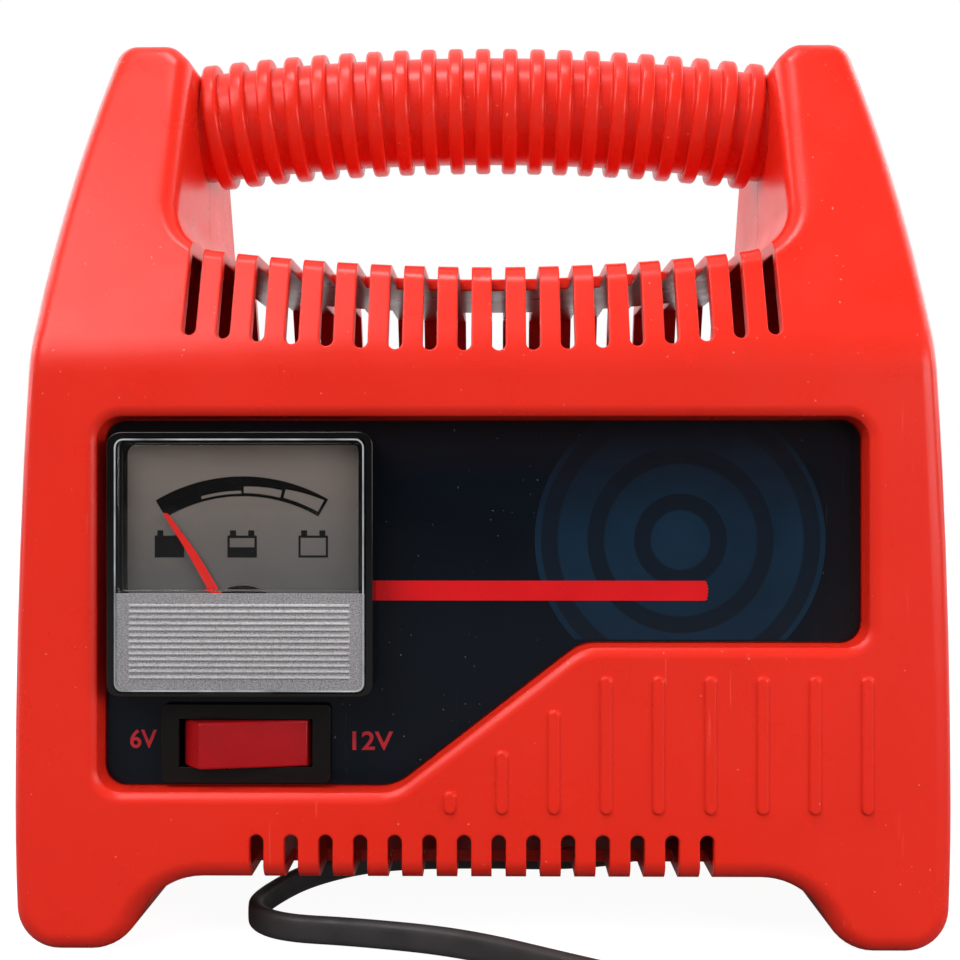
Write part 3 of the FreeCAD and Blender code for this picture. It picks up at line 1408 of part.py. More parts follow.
def least_gap(wire, width):
    """The coil's least gap to itself, measured between points along its middle line."""
    points = wire.discretize(Number=900)
    step = wire.Length / (len(points) - 1)
    apart = int(width * 3 / step)
    gap = wire.Length
    for index, point in enumerate(points):
        for other in points[index + apart:]:
            gap = min(gap, point.distanceToPoint(other))
    return gap - width


def tube(name, wire, profile):
    """A solid swept along a wire."""
    solid = doc.addObject("Part::Feature", name + "_form")
    solid.Shape = wire.makePipeShell([profile], True, False)
    return part(name, solid)


def flat_sided_profile(place, heading, sides, corner):
    """A regular outline about the lead's middle, with a level side below."""
    across = heading.cross(Vector(0, 0, 1)).normalize()
    up = across.cross(heading).normalize()
    points = []
    for index in range(sides):
        angle = 2 * math.pi * (index + 0.5) / sides - math.pi / 2
        points.append(place + across * (corner * math.cos(angle)) + up * (corner * math.sin(angle)))
    return Part.makePolygon(points + points[:1])


def lead_profile(place, heading, sides=8):
    """The lead's section with few sides and the area of its round."""
    share = math.pi / sides
    return flat_sided_profile(place, heading, sides,
                              size("lead_width / 2") * math.sqrt(share / (math.sin(share) * math.cos(share))))


def coil_profile(place, heading, sides=8):
    """The lead's section in the coil, with few sides that touch its round."""
    return flat_sided_profile(place, heading, sides, size("lead_width / 2") / math.cos(math.pi / sides))


def lead_tail_route():
    """From the coil's end out to the plug."""
    last, heading = coil_station(size("coil_turns_per_layer * 2"))
    low = size("plug_thickness / 2")
    start = last + heading * size("lead_width")
    level = Vector(start.x, start.y, low)
    return [start, start + heading * 10, level + heading * 23, level + heading * 36]


route = lead_route()
route_wire, radii = rounded_route(route)
print("lead arcs, radii in mm:", radii)
tube("mains_lead", route_wire, lead_profile(route[0], (route[1] - route[0]).normalize()))
section = math.pi * size("lead_width / 2") ** 2
print("lead tube, volume over section times length:",
      round(parts["mains_lead"].Shape.Volume / (section * route_wire.Length), 4))

coil_line = coil_wire()
coil_first, coil_heading = coil_station(0)
tube("mains_lead_coil", coil_line, coil_profile(coil_first - coil_heading * size("lead_width"), coil_heading))
print("coil, least gap to itself in mm:", round(least_gap(coil_line, size("lead_width")), 2))

tail_route = lead_tail_route()
tail_wire, tail_radii = rounded_route(tail_route)
print("lead tail arcs, radii in mm:", tail_radii)
tube("mains_lead_tail", tail_wire, lead_profile(tail_route[0], (tail_route[1] - tail_route[0]).normalize()))
print("lead length in mm:", round(route_wire.Length + coil_line.Length + tail_wire.Length))


def tie_outline(margin):
    """A rounded frame round the coil's section at its left."""
    layer = size("coil_turns_per_layer")
    angle = (size("coil_start_angle") - 180) / 360 % 1
    radii = [size("coil_mean_radius") + size("coil_pitch") * (abs(turn + angle - layer) - layer / 2)
             for turn in range(int(2 * layer))]
    half = size("lead_width / 2")
    inner, outer = min(radii) - half - margin, max(radii) + half + margin
    low = size("lead_rest_height + coil_lift") - half - margin
    high = size("lead_rest_height + coil_lift + coil_pitch") + half + margin
    middle = size("coil_centre_x") - (inner + outer) / 2
    return box_outline(middle, (low + high) / 2, outer - inner, high - low, margin + half * 0.5)


tie_inside = prism("tie_inside", sketch("tie_inner", FRONT, tie_outline(size("tie_gap")),
                                        y="coil_centre_y + tie_width / 2"), "tie_width")
tie_outside = prism("tie_outside", sketch("tie_outer", FRONT, tie_outline(size("tie_gap + tie_thickness")),
                                          y="coil_centre_y + tie_width / 2"), "tie_width")
part("coil_tie", cut("coil_tie_form", tie_outside, tie_inside))


# Plug at the end of the lead

def plug_form():
    """Moulded plug from its neck at the origin to its pin face, along Y."""
    neck, wide = size("plug_neck_width"), size("plug_width")
    thin, thick = size("plug_neck_thickness"), size("plug_thickness")
    edge = size("plug_edge_radius")
    rows_of_form = [
        ("neck", "0", neck, thin), ("waist", "plug_length * 0.17", neck * 1.05, thin * 1.04),
        ("flare", "plug_length * 0.3", (neck * 2 + wide) / 3, (thin * 2 + thick) / 3),
        ("shoulder", "plug_length - plug_shoulder - plug_edge_radius", wide - edge, thick),
        ("side", "plug_length - plug_shoulder", wide, thick), ("face", "plug_length", wide, thick),
    ]
    sections = [sketch(f"plug_{name}", REARWARD, box_outline(0, 0, width, height, edge), y=along)
                for name, along, width, height in rows_of_form]
    form = doc.addObject("Part::Loft", "plug_block")
    form.Sections = sections
    form.Solid = True
    form.Ruled = True
    return form


def plug_placement():
    heading = tail_route[-1] - tail_route[-2]
    turn = math.degrees(math.atan2(-heading.x, heading.y))
    return Placement(tail_route[-1], Rotation(Vector(0, 0, 1), turn))


def moved(name, source, placement):
    """A copy of a solid that is drawn at the origin, in its place."""
    copy = doc.addObject("Part::Feature", name + "_placed")
    copy.Shape = source.Shape
    copy.Placement = placement
    return part(name, copy)


plug_block = plug_form()
plug_seats, pin_solids = [], []
for side in (-1, 1):
    spot = {"x": f"{side} * pin_spacing / 2", "y": "plug_length - pin_seat"}
    plug_seats.append(cylinder(f"pin_seat_{side}", "pin_root_radius", "pin_seat + 1", REARWARD, **spot))
    rod = cylinder(f"pin_rod_{side}", "pin_radius", "pin_length + pin_seat", REARWARD, **spot)
    pin_solids.append(fused(f"pin_{side}", rod, cylinder(f"pin_root_{side}", "pin_root_radius", "pin_seat",
                                                         REARWARD, **spot)))
plug_body = cut("plug_body", plug_block, *plug_seats)
pins = group("pin_set", *pin_solids)
doc.recompute()
moved("mains_plug", plug_body, plug_placement())
moved("plug_pins", pins, plug_placement())


# Check every object and write the parts

doc.recompute()
for thing in doc.Objects:
    if "Invalid" in thing.State or "Error" in thing.State:
        raise RuntimeError(f"{thing.Name} did not build: {thing.State}")
for name, thing in parts.items():
    if thing.Shape.isNull() or not thing.Shape.isValid() or not thing.Shape.Solids:
        raise RuntimeError(f"{name} is not a valid solid")

os.makedirs("parts", exist_ok=True)
for name, thing in parts.items():
    thing.Shape.exportStep(f"parts/{name}.step")
print(len(parts), "parts")
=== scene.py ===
"""Car battery charger, dressed: red moulded case, panel meter, rocker switch and flat mains lead."""
import logging
import math
from dataclasses import dataclass
from enum import Enum

import bmesh
import bpy
from mathutils import Matrix, Vector


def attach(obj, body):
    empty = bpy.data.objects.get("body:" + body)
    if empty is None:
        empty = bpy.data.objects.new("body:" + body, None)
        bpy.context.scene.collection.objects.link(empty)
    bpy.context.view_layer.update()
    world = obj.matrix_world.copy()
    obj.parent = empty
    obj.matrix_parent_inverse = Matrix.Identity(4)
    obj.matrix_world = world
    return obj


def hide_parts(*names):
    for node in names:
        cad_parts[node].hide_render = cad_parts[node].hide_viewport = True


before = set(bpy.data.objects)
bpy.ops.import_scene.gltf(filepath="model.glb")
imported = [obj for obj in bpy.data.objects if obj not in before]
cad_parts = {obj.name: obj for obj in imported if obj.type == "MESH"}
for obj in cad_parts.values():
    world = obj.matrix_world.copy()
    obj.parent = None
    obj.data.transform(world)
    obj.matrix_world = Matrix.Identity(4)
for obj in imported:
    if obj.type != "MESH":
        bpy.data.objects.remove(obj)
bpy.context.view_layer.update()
MM = 0.001
LOG = logging.getLogger("charger")

Tree = bpy.types.NodeTree
Output = bpy.types.Node | bpy.types.NodeSocket
Mesh = bmesh.types.BMesh
Piece = bpy.types.Object
Pair = tuple[float, float]
Triple = tuple[float, float, float]
Places = tuple[Pair, ...]
STAYS: Places = ((0, 0), (1, 1))


# ---- Colour and node helpers

def linear(code: str) -> tuple[float, float, float, float]:
    """Turn an sRGB hex colour into linear light.

    Args:
        code: Six hex digits after a hash.

    Returns:
        Red, green, blue and an alpha of 1.
    """
    channels = [int(code[i:i + 2], 16) / 255 for i in (1, 3, 5)]
    return (*(c / 12.92 if c <= 0.04045 else ((c + 0.055) / 1.055) ** 2.4 for c in channels), 1.0)


def add_node(tree: Tree, kind: str, sockets: dict | None = None, **settings) -> bpy.types.Node:
    """Add a shader node with its settings, its values and its links.

    Args:
        tree: The material's node tree.
        kind: The node's type name, without the ShaderNode that all of them start with.
        sockets: Input name or index to a value, to the output that feeds it, or to a node whose first output does.
        settings: Properties of the node itself.

    Returns:
        The new node.
    """
    node = tree.nodes.new("ShaderNode" + kind)
    for name, value in settings.items():
        setattr(node, name, value)
    for socket, value in (sockets or {}).items():
        if isinstance(value, bpy.types.Node):
            value = value.outputs[0]
        if isinstance(value, bpy.types.NodeSocket):
            tree.links.new(value, node.inputs[socket])
        else:
            node.inputs[socket].default_value = value
    return node


def own_axes(tree: Tree) -> list[Output]:
    """The piece's own x, y and z in metres."""
    return list(add_node(tree, "SeparateXYZ", {0: add_node(tree, "TexCoord").outputs["Object"]}).outputs)


def fade(tree: Tree, factor: Output, span: Pair, start: Output | str, end: str, most: float = 1.0) -> Output:
    """Fade one colour into another while a factor crosses a span.

    Args:
        tree: The material's node tree.
        factor: What drives the change.
        span: The factor where the change starts and where it ends.
        start: The first colour, as an output or a hex code.
        end: The second colour's hex code.
        most: The share of the second colour at the end.

    Returns:
        The output with the faded colour.
    """
    share = add_node(tree, "MapRange", {0: factor, 1: span[0], 2: span[1], 4: most})
    first = linear(start) if isinstance(start, str) else start
    return add_node(tree, "Mix", {0: share, 6: first, 7: linear(end)}, data_type="RGBA").outputs[2]


def blotches(tree: Tree, size_mm: float, detail: float = 3.0, stretch: Triple = (1, 1, 1),
             turn: Triple = (0, 0, 0)) -> Output:
    """Cloudy spots that have a real size, on the piece's own coordinates.

    Args:
        tree: The material's node tree.
        size_mm: The size of one spot in millimetres.
        detail: The number of finer octaves.
        stretch: Scale along each axis.
        turn: Rotation of the pattern in radians.

    Returns:
        The node whose first output is the strength of the spots.
    """
    place = add_node(tree, "TexCoord").outputs["Object"]
    mapped = add_node(tree, "Mapping", {"Vector": place, "Scale": stretch, "Rotation": turn})
    return add_node(tree, "TexNoise", {"Vector": mapped, "Scale": 1 / (size_mm * MM), "Detail": detail})


# ---- Finishes

@dataclass(frozen=True)
class Finish:
    """A surface with its gloss, a slight variation of colour and a fine relief."""

    name: str
    slot: str
    colour: str
    shade: str
    roughness: float
    metallic: float = 0.0
    ior: float = 1.5
    blotch_mm: float = 12.0
    grain_mm: float = 0.5
    grain_depth: float = 0.05
    soft_edge_mm: float = 0.0
    stretch: Triple = (1, 1, 1)

    def surface(self, tree: Tree) -> tuple[Output, Output]:
        """Make the colour and the roughness of the surface.

        Args:
            tree: The material's node tree.

        Returns:
            The colour and the roughness.
        """
        colour = fade(tree, blotches(tree, self.blotch_mm, stretch=self.stretch), (0.3, 0.7), self.shade, self.colour)
        roughness = add_node(tree, "MapRange", {
            0: blotches(tree, self.blotch_mm / 3, stretch=self.stretch), 1: 0.3, 2: 0.7,
            3: self.roughness * 0.85, 4: self.roughness * 1.15})
        return colour, roughness.outputs[0]

    def build(self) -> bpy.types.Material:
        """Build the material, once for each name.

        Returns:
            The material.
        """
        if self.name in bpy.data.materials:
            return bpy.data.materials[self.name]
        material = bpy.data.materials.new(self.name)
        material.use_nodes = True
        tree = material.node_tree
        shader = tree.nodes["Principled BSDF"]
        colour, roughness = self.surface(tree)
        tree.links.new(colour, shader.inputs["Base Color"])
        tree.links.new(roughness, shader.inputs["Roughness"])
        shader.inputs["Metallic"].default_value = self.metallic
        if not self.metallic:
            shader.inputs["IOR"].default_value = self.ior
        relief = {"Height": blotches(tree, self.grain_mm, 2.0, self.stretch), "Strength": self.grain_depth,
                  "Distance": self.grain_mm * MM * 0.3}
        if self.soft_edge_mm:
            relief["Normal"] = add_node(tree, "Bevel", {"Radius": self.edge_radius(tree)}, samples=8)
        tree.links.new(add_node(tree, "Bump", relief).outputs[0], shader.inputs["Normal"])
        self.finish_off(tree, shader)
        return material

    def edge_radius(self, tree: Tree) -> float | Output:
        """How far the shading rounds an edge, in metres."""
        return self.soft_edge_mm * MM

    def finish_off(self, tree: Tree, shader: bpy.types.Node) -> None:
        """Hook for what only one kind of surface has."""

    def put_on(self, piece: Piece) -> None:
        """Give the piece this finish alone."""
        piece.data.materials.clear()
        piece.data.materials.append(self.build())


@dataclass(frozen=True)
class WornShell(Finish):
    """Smooth plastic that has been carried about: fine scuffs and specks of dust show as paler marks."""

    scuff: str = "#F4705C"
    dust: str = "#F0988C"
    speck: float = 0.84
    scratch_mm: float = 0.55
    scratches: tuple[tuple[Triple, Triple], ...] = (((0, 0.5, 0.2), (1, 1, 0.03)), ((0, -0.75, 0.1), (1, 1, 0.035)))
    patch_mm: float = 26.0
    dust_mm: float = 0.7

    def surface(self, tree: Tree) -> tuple[Output, Output]:
        """Add hair scratches, which come in patches, and dust to the plain colour.

        Args:
            tree: The material's node tree.

        Returns:
            The colour and the roughness.
        """
        colour, roughness = super().surface(tree)
        marks = [add_node(tree, "MapRange", {0: blotches(tree, self.scratch_mm, 1.0, stretch, turn), 1: 0.735,
                                             2: 0.78}) for turn, stretch in self.scratches]
        both = add_node(tree, "Math", {0: marks[0], 1: marks[1]}, operation="MAXIMUM")
        where = add_node(tree, "MapRange", {0: blotches(tree, self.patch_mm, 1.0), 1: 0.5, 2: 0.62})
        faint = add_node(tree, "Math", {0: both, 1: where}, operation="MULTIPLY")
        scuffed = fade(tree, faint, (0, 1), colour, self.scuff, 0.25)
        specks = blotches(tree, self.dust_mm, 0.0)
        return fade(tree, specks, (self.speck, self.speck + 0.03), scuffed, self.dust, 0.5), roughness


@dataclass(frozen=True)
class MouldedShell(WornShell):
    """The case's own plastic: the handle's horns are rounded most, and thin walls glow where light gets behind."""

    horn_edge_mm: float = 3.0
    horn_side_mm: Pair = (61.0, 67.0)
    horn_low_mm: Pair = (116.0, 126.0)
    glow: float = 0.12
    glow_mm: float = 4.0
    glow_spread: Triple = (1.0, 0.12, 0.08)

    def edge_radius(self, tree: Tree) -> float | Output:
        """Grow the rounding from the plain one to the horns' own.

        Args:
            tree: The material's node tree.

        Returns:
            The rounding in metres.
        """
        x, _, z = own_axes(tree)
        side = add_node(tree, "Math", {0: x}, operation="ABSOLUTE")
        out, up = (add_node(tree, "MapRange", {0: value, 1: low * MM, 2: high * MM})
                   for value, (low, high) in ((side, self.horn_side_mm), (z, self.horn_low_mm)))
        horn = add_node(tree, "Math", {0: out, 1: up}, operation="MULTIPLY")
        return add_node(tree, "MapRange", {0: horn, 3: self.soft_edge_mm * MM, 4: self.horn_edge_mm * MM})

    def finish_off(self, tree: Tree, shader: bpy.types.Node) -> None:
        """Let a little light spread under the surface.

        Args:
            tree: The material's node tree.
            shader: Its main shader.
        """
        shader.subsurface_method = "BURLEY"
        for name, value in (("Weight", self.glow), ("Radius", self.glow_spread), ("Scale", self.glow_mm * MM)):
            shader.inputs["Subsurface " + name].default_value = value


@dataclass(frozen=True)
class PanelFilm(WornShell):
    """Glossy film with a painted reflection: browner where the window's lip mirrors in its top and its right end."""

    # Painted reflection of the window's lip, towards the top and the right end.
    lip_reflection: str = "#1A1113"
    top_mm: Pair = (90.0, 103.0)
    right_mm: Pair = (62.0, 74.0)

    def surface(self, tree: Tree) -> tuple[Output, Output]:
        """Paint the lip's reflection into the plain colour towards the top and the right end.

        Args:
            tree: The material's node tree.

        Returns:
            The colour and the roughness.
        """
        colour, roughness = super().surface(tree)
        x, _, z = own_axes(tree)
        # Painted reflection: strongest along the film's top and its right end.
        near = [add_node(tree, "MapRange", {0: value, 1: low * MM, 2: high * MM})
                for value, (low, high) in ((z, self.top_mm), (x, self.right_mm))]
        most = add_node(tree, "Math", {0: near[0], 1: near[1]}, operation="MAXIMUM")
        return fade(tree, most, (0, 1), colour, self.lip_reflection, 0.8), roughness


@dataclass(frozen=True)
class DialCard(Finish):
    """Matt card with painted light: paler towards its top, where the lamps reach it past the meter's rim."""

    # Painted light: the paler colour towards the card's top.
    top: str = "#80746D"
    rise_mm: Pair = (72.0, 97.0)

    def surface(self, tree: Tree) -> tuple[Output, Output]:
        """Fade the plain colour into the painted light of the top.

        Args:
            tree: The material's node tree.

        Returns:
            The colour and the roughness.
        """
        colour, roughness = super().surface(tree)
        # Painted light: the card grows paler towards its top.
        low, high = self.rise_mm
        return fade(tree, own_axes(tree)[2], (low * MM, high * MM), colour, self.top), roughness


@dataclass(frozen=True)
class ClearPlastic(Finish):
    """Polished plastic: clear from the front, dark in its side walls, which show the black case behind them."""

    wall: str = "#0B0B0C"
    wall_turn: float = 0.3

    def finish_off(self, tree: Tree, shader: bpy.types.Node) -> None:
        """Let the light through the face, straight on to what lies behind, and darken the walls.

        Args:
            tree: The material's node tree.
            shader: Its main shader.
        """
        shader.inputs["Transmission Weight"].default_value = 1.0
        path = add_node(tree, "LightPath").outputs
        straight = add_node(tree, "Math", {0: path["Is Shadow Ray"], 1: path["Is Diffuse Ray"]}, operation="MAXIMUM")
        way = add_node(tree, "SeparateXYZ", {0: add_node(tree, "TexCoord").outputs["Normal"]})
        facing = add_node(tree, "Math", {0: way.outputs[1]}, operation="ABSOLUTE")
        beside = add_node(tree, "Math", {0: facing, 1: self.wall_turn}, operation="LESS_THAN")
        dark = add_node(tree, "BsdfPrincipled", {"Base Color": linear(self.wall), "Roughness": 0.15})
        solid = add_node(tree, "MixShader", {0: beside, 1: shader, 2: dark})
        both = add_node(tree, "MixShader", {0: straight, 1: solid, 2: add_node(tree, "BsdfTransparent")})
        tree.links.new(both.outputs[0], tree.nodes["Material Output"].inputs["Surface"])


@dataclass(frozen=True)
class RibbedTrim(Finish):
    """Foil on plastic, with a grain and painted highlights on its ribs. The grain is drawn coarser than real, to
    show.
    """

    # Painted highlight: the pale colour of the lines where the ribs catch the light.
    line: str = "#DEDADD"
    grain_low: str = "#6E6C6F"
    grain_high: str = "#C2BFC2"
    pitch_mm: float = 1.129
    first_mm: float = 52.535
    sides_mm: Pair = (-66.6, -24.8)
    count: int = 13

    def surface(self, tree: Tree) -> tuple[Output, Output]:
        """Draw the grain, then the ribs' painted highlights as paler lines between the side margins.

        Args:
            tree: The material's node tree.

        Returns:
            The colour and the roughness.
        """
        colour, roughness = super().surface(tree)
        speckle = fade(tree, blotches(tree, 0.22, 1.0, (0.8, 1, 1.2)), (0.36, 0.64), self.grain_low, self.grain_high)
        body = add_node(tree, "Mix", {0: 0.75, 6: colour, 7: speckle}, data_type="RGBA").outputs[2]
        x, _, z = own_axes(tree)
        rows = add_node(tree, "Math", {0: z, 1: self.first_mm * MM}, operation="SUBTRACT")
        turns = add_node(tree, "Math", {0: rows, 1: self.pitch_mm * MM}, operation="DIVIDE")
        share = add_node(tree, "Math", {0: turns}, operation="FRACT")
        off = add_node(tree, "Math", {0: share, 1: 0.5}, operation="SUBTRACT")
        near = add_node(tree, "Math", {0: off}, operation="ABSOLUTE")
        # Painted highlight: a pale line on each rib.
        stripe = add_node(tree, "MapRange", {0: near, 1: 0.21, 2: 0.12})
        left, right = self.sides_mm
        for value, low, high in ((x, left * MM, right * MM), (turns, 0.0, float(self.count))):
            for bound, way in ((low, "GREATER_THAN"), (high, "LESS_THAN")):
                side = add_node(tree, "Math", {0: value, 1: bound}, operation=way)
                stripe = add_node(tree, "Math", {0: stripe, 1: side}, operation="MULTIPLY")
        # The painted highlights vary in strength along the ribs.
        ragged = add_node(tree, "MapRange", {0: blotches(tree, 0.3, 1.0, (0.4, 1, 1)), 1: 0.3, 2: 0.55, 3: 0.4})
        amount = add_node(tree, "Math", {0: stripe, 1: ragged}, operation="MULTIPLY")
        return fade(tree, amount, (0, 1), body, self.line), roughness


@dataclass(frozen=True)
class PrintedDisc(Finish):
    """Ink in a plain disc with darker rings, and painted shade that sinks it into the dark film towards its top."""

    centre_mm: Pair = (38.5, 78.7)
    ring_mm: float = 9.0
    ring_span: Pair = (0.62, 0.66)
    ring: str = "#0F1823"
    # Painted shade: the dark colour that the disc fades into towards its top.
    painted_shade: str = "#120F14"
    painted_shade_mm: Pair = (82.0, 99.0)

    def surface(self, tree: Tree) -> tuple[Output, Output]:
        """Draw the rings round the disc's middle, then the painted shade towards its top.

        Args:
            tree: The material's node tree.

        Returns:
            The colour and the roughness.
        """
        colour, roughness = super().surface(tree)
        middle = (self.centre_mm[0] * MM, 0, self.centre_mm[1] * MM)
        place = add_node(tree, "TexCoord").outputs["Object"]
        centred = add_node(tree, "VectorMath", {0: place, 1: middle}, operation="SUBTRACT")
        flat = add_node(tree, "VectorMath", {0: centred, 1: (1, 0, 1)}, operation="MULTIPLY")
        reach = add_node(tree, "VectorMath", {0: flat}, operation="LENGTH").outputs[1]
        turns = add_node(tree, "Math", {0: reach, 1: self.ring_mm * MM}, operation="DIVIDE")
        share = add_node(tree, "Math", {0: turns}, operation="FRACT")
        ringed = fade(tree, share, self.ring_span, colour, self.ring)
        # Painted shade: the disc darkens into the film's colour towards its top.
        low, high = self.painted_shade_mm
        return fade(tree, own_axes(tree)[2], (low * MM, high * MM), ringed, self.painted_shade, 0.9), roughness


class Paint(Enum):
    """The finishes of the charger, by what each is in real life."""

    # Injection-moulded ABS: an even, satin red with soft highlights along its edges and a few handling marks.
    SHELL = MouldedShell("abs_red_moulded", "red_case", "#E72B1B", "#E12818", 0.3, ior=1.35, blotch_mm=35.0,
                         grain_mm=0.35, grain_depth=0.06, soft_edge_mm=0.6)
    # Back-printed polycarbonate film: glossy near-black navy that mirrors its surroundings, with pale dust on it.
    # Painted reflection: the window's lip shows as a browner tint along the film's top and right end.
    FILM = PanelFilm("polycarbonate_film_navy", "dark_panel", "#0D151F", "#080D14", 0.16, ior=1.3, blotch_mm=60.0,
                     grain_mm=6.0, grain_depth=0.02, scuff="#39424C", dust="#7A7F86", speck=0.85)
    # Screen-printed inks: thin, slightly uneven colour with the film's gloss.
    # Painted shade darkens the disc towards its top.
    DISC = PrintedDisc("screen_print_blue", "dark_panel", "#12283A", "#0F2030", 0.2, ior=1.3, blotch_mm=18.0,
                       grain_depth=0.02)
    STRIPE = Finish("screen_print_red", "dark_panel", "#D6161C", "#CC1319", 0.28, ior=1.3, blotch_mm=14.0,
                    grain_depth=0.03)
    LABEL = Finish("screen_print_label_red", "dark_panel", "#B5202B", "#A41A25", 0.35, blotch_mm=3.0,
                   grain_depth=0.03)
    # Polished black ABS: deep black with sharp, narrow highlights on its rim.
    BEZEL = Finish("abs_black_polished", "black_plastic", "#0E0E0F", "#090909", 0.14, blotch_mm=9.0, grain_mm=0.8,
                   grain_depth=0.02)
    # Moulded clear polystyrene: water-clear, seen only by its gloss and its dark walls.
    CLEAR = ClearPlastic("polystyrene_clear", "clear_plastic", "#FFFFFF", "#FBFDFD", 0.03, ior=1.49, grain_depth=0.0)
    # A painted highlight on the same polystyrene's edge: a fine silvery line of uneven strength, for light caught
    # inside.
    EDGE = Finish("polystyrene_edge_lit", "clear_plastic", "#C3C8CB", "#5F6468", 0.2, blotch_mm=9.0, grain_mm=0.8,
                  grain_depth=0.1)
    # Hot-stamped foil: half metallic grey with a sparkling grain, and painted highlights as bright lines on its ribs.
    TRIM = RibbedTrim("foil_silver_ribbed", "frosted_trim", "#9C999C", "#918E91", 0.42, metallic=0.35, blotch_mm=8.0,
                      grain_mm=0.3, grain_depth=0.3)
    # Matt printed card: a warm grey without highlights, with painted light making it paler towards its top.
    DIAL = DialCard("card_dial_grey", "dial_grey", "#595655", "#524F4D", 0.55, ior=1.3, blotch_mm=20.0,
                    grain_depth=0.0)
    # Offset printing ink: flat black that takes no highlight.
    INK = Finish("dial_ink_black", "dial_grey", "#0A0909", "#070606", 0.7, ior=1.1, blotch_mm=5.0, grain_depth=0.0)
    # Sprayed lacquer on aluminium: bright, even red.
    NEEDLE = Finish("lacquer_needle_red", "needle_red", "#DE221A", "#D51D16", 0.4, ior=1.2, blotch_mm=4.0,
                    grain_depth=0.03)
    # Moulded nylon: a deeper red with a silky face.
    ROCKER = Finish("nylon_rocker_red", "rocker_red", "#AC1219", "#A01016", 0.3, ior=1.36, blotch_mm=9.0,
                    grain_mm=0.4, grain_depth=0.05)
    # Moulded nylon: soft brownish black with a faint orange peel.
    SWITCH = Finish("nylon_switch_black", "black_plastic", "#130D0C", "#0E0A09", 0.38, ior=1.36, blotch_mm=8.0,
                    grain_mm=0.3, grain_depth=0.08)
    # Extruded soft PVC: dull charcoal, a little greasy along its top.
    LEAD = Finish("pvc_lead_black", "cord_rubber", "#3A3738", "#2E2B2C", 0.52, ior=1.45, blotch_mm=9.0, grain_mm=1.2,
                  grain_depth=0.06)
    # Moulded PVC: darker than the lead, with a fine grain.
    RUBBER = Finish("pvc_bush_black", "cord_rubber", "#191617", "#121011", 0.5, blotch_mm=6.0, grain_mm=0.5,
                    grain_depth=0.1)
    # Zinc-plated steel: cool grey with a slightly cloudy shine.
    STEEL = Finish("steel_zinc_plated", "steel", "#B9BABC", "#A2A3A6", 0.32, metallic=1.0, blotch_mm=4.0,
                   grain_mm=0.3, grain_depth=0.1)
    # Nickelled brass: pale, warm and bright.
    BRASS = Finish("brass_nickel_bright", "brass", "#CDBB88", "#BDA874", 0.28, metallic=1.0, blotch_mm=4.0,
                   grain_mm=0.4, grain_depth=0.05)
    # Rolled aluminium sheet: silver with streaks along the rolling.
    ALUMINIUM = Finish("aluminium_rolled", "aluminium", "#C6C7C9", "#B2B3B6", 0.36, metallic=1.0, blotch_mm=5.0,
                       grain_mm=0.2, grain_depth=0.15, stretch=(1, 1, 0.05))
    # Stacked silicon steel: dark sheets whose edges show as fine stripes.
    LAMINATION = Finish("silicon_steel_laminated", "iron_core", "#5A5858", "#3E3C3D", 0.45, metallic=0.8,
                        blotch_mm=0.6, grain_mm=0.5, grain_depth=0.5, stretch=(0.02, 1, 0.02))
    # Wound polyester tape: glossy yellow with flat wraps.
    TAPE = Finish("polyester_tape_yellow", "winding_tape", "#C7A630", "#B8962A", 0.3, blotch_mm=6.0, grain_mm=0.6,
                  grain_depth=0.2, stretch=(0.1, 0.1, 1))
    # Unfilled nylon: warm ivory, a little cloudy.
    NYLON = Finish("nylon_ivory", "bobbin_nylon", "#D8D2BF", "#CCC5B0", 0.45, blotch_mm=7.0, grain_mm=0.4,
                   grain_depth=0.08)
    # Cast epoxy: black with a fine matt grain.
    EPOXY = Finish("epoxy_black", "black_plastic", "#1C1C1E", "#151517", 0.42, blotch_mm=3.0, grain_mm=0.3,
                   grain_depth=0.1)
    # Moulded nylon tie: black with a fine grain.
    TIE = Finish("nylon_tie_black", "tie_plastic", "#1C1C1E", "#151517", 0.42, blotch_mm=3.0, grain_mm=0.3,
                 grain_depth=0.1)


class Body(Enum):
    """What a piece rides on."""

    CHARGER = "charger"
    ROCKER = "rocker"
    NEEDLE = "needle"


# ---- Pieces

def in_scene(name: str, data: bpy.types.ID) -> Piece:
    """Make an object that holds the data, and link it to the scene.

    Args:
        name: The object's name.
        data: Its mesh, curve, lamp or camera.

    Returns:
        The new object.
    """
    made = bpy.data.objects.new(name, data)
    bpy.context.scene.collection.objects.link(made)
    return made


def as_mesh(shape: Piece) -> bpy.types.Mesh:
    """The mesh that a curve or text makes."""
    bpy.context.view_layer.update()
    return bpy.data.meshes.new_from_object(shape.evaluated_get(bpy.context.evaluated_depsgraph_get()))


def new_piece(name: str, mesh: Mesh, paint: Paint, body: Body = Body.CHARGER, smooth_degrees: float = 35.0) -> Piece:
    """Turn a bmesh in metres into a piece that rides on a body.

    Args:
        name: The piece's name.
        mesh: Its shape, in the frame's coordinates. It is freed here.
        paint: Its finish.
        body: The body that it rides on.
        smooth_degrees: Edges sharper than this stay sharp.

    Returns:
        The new object.
    """
    data = bpy.data.meshes.new(name)
    mesh.to_mesh(data)
    mesh.free()
    piece = in_scene(name, data)
    data.shade_smooth()
    data.set_sharp_from_angle(angle=math.radians(smooth_degrees))
    paint.value.put_on(piece)
    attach(piece, body.value)
    LOG.info("made %s", name)
    return piece


def dress(paint: Paint, *nodes: str) -> None:
    """Give CAD nodes a finish.

    Args:
        paint: The finish.
        nodes: The nodes' names.
    """
    for node in nodes:
        paint.value.put_on(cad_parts[node])
        LOG.info("dressed %s", node)


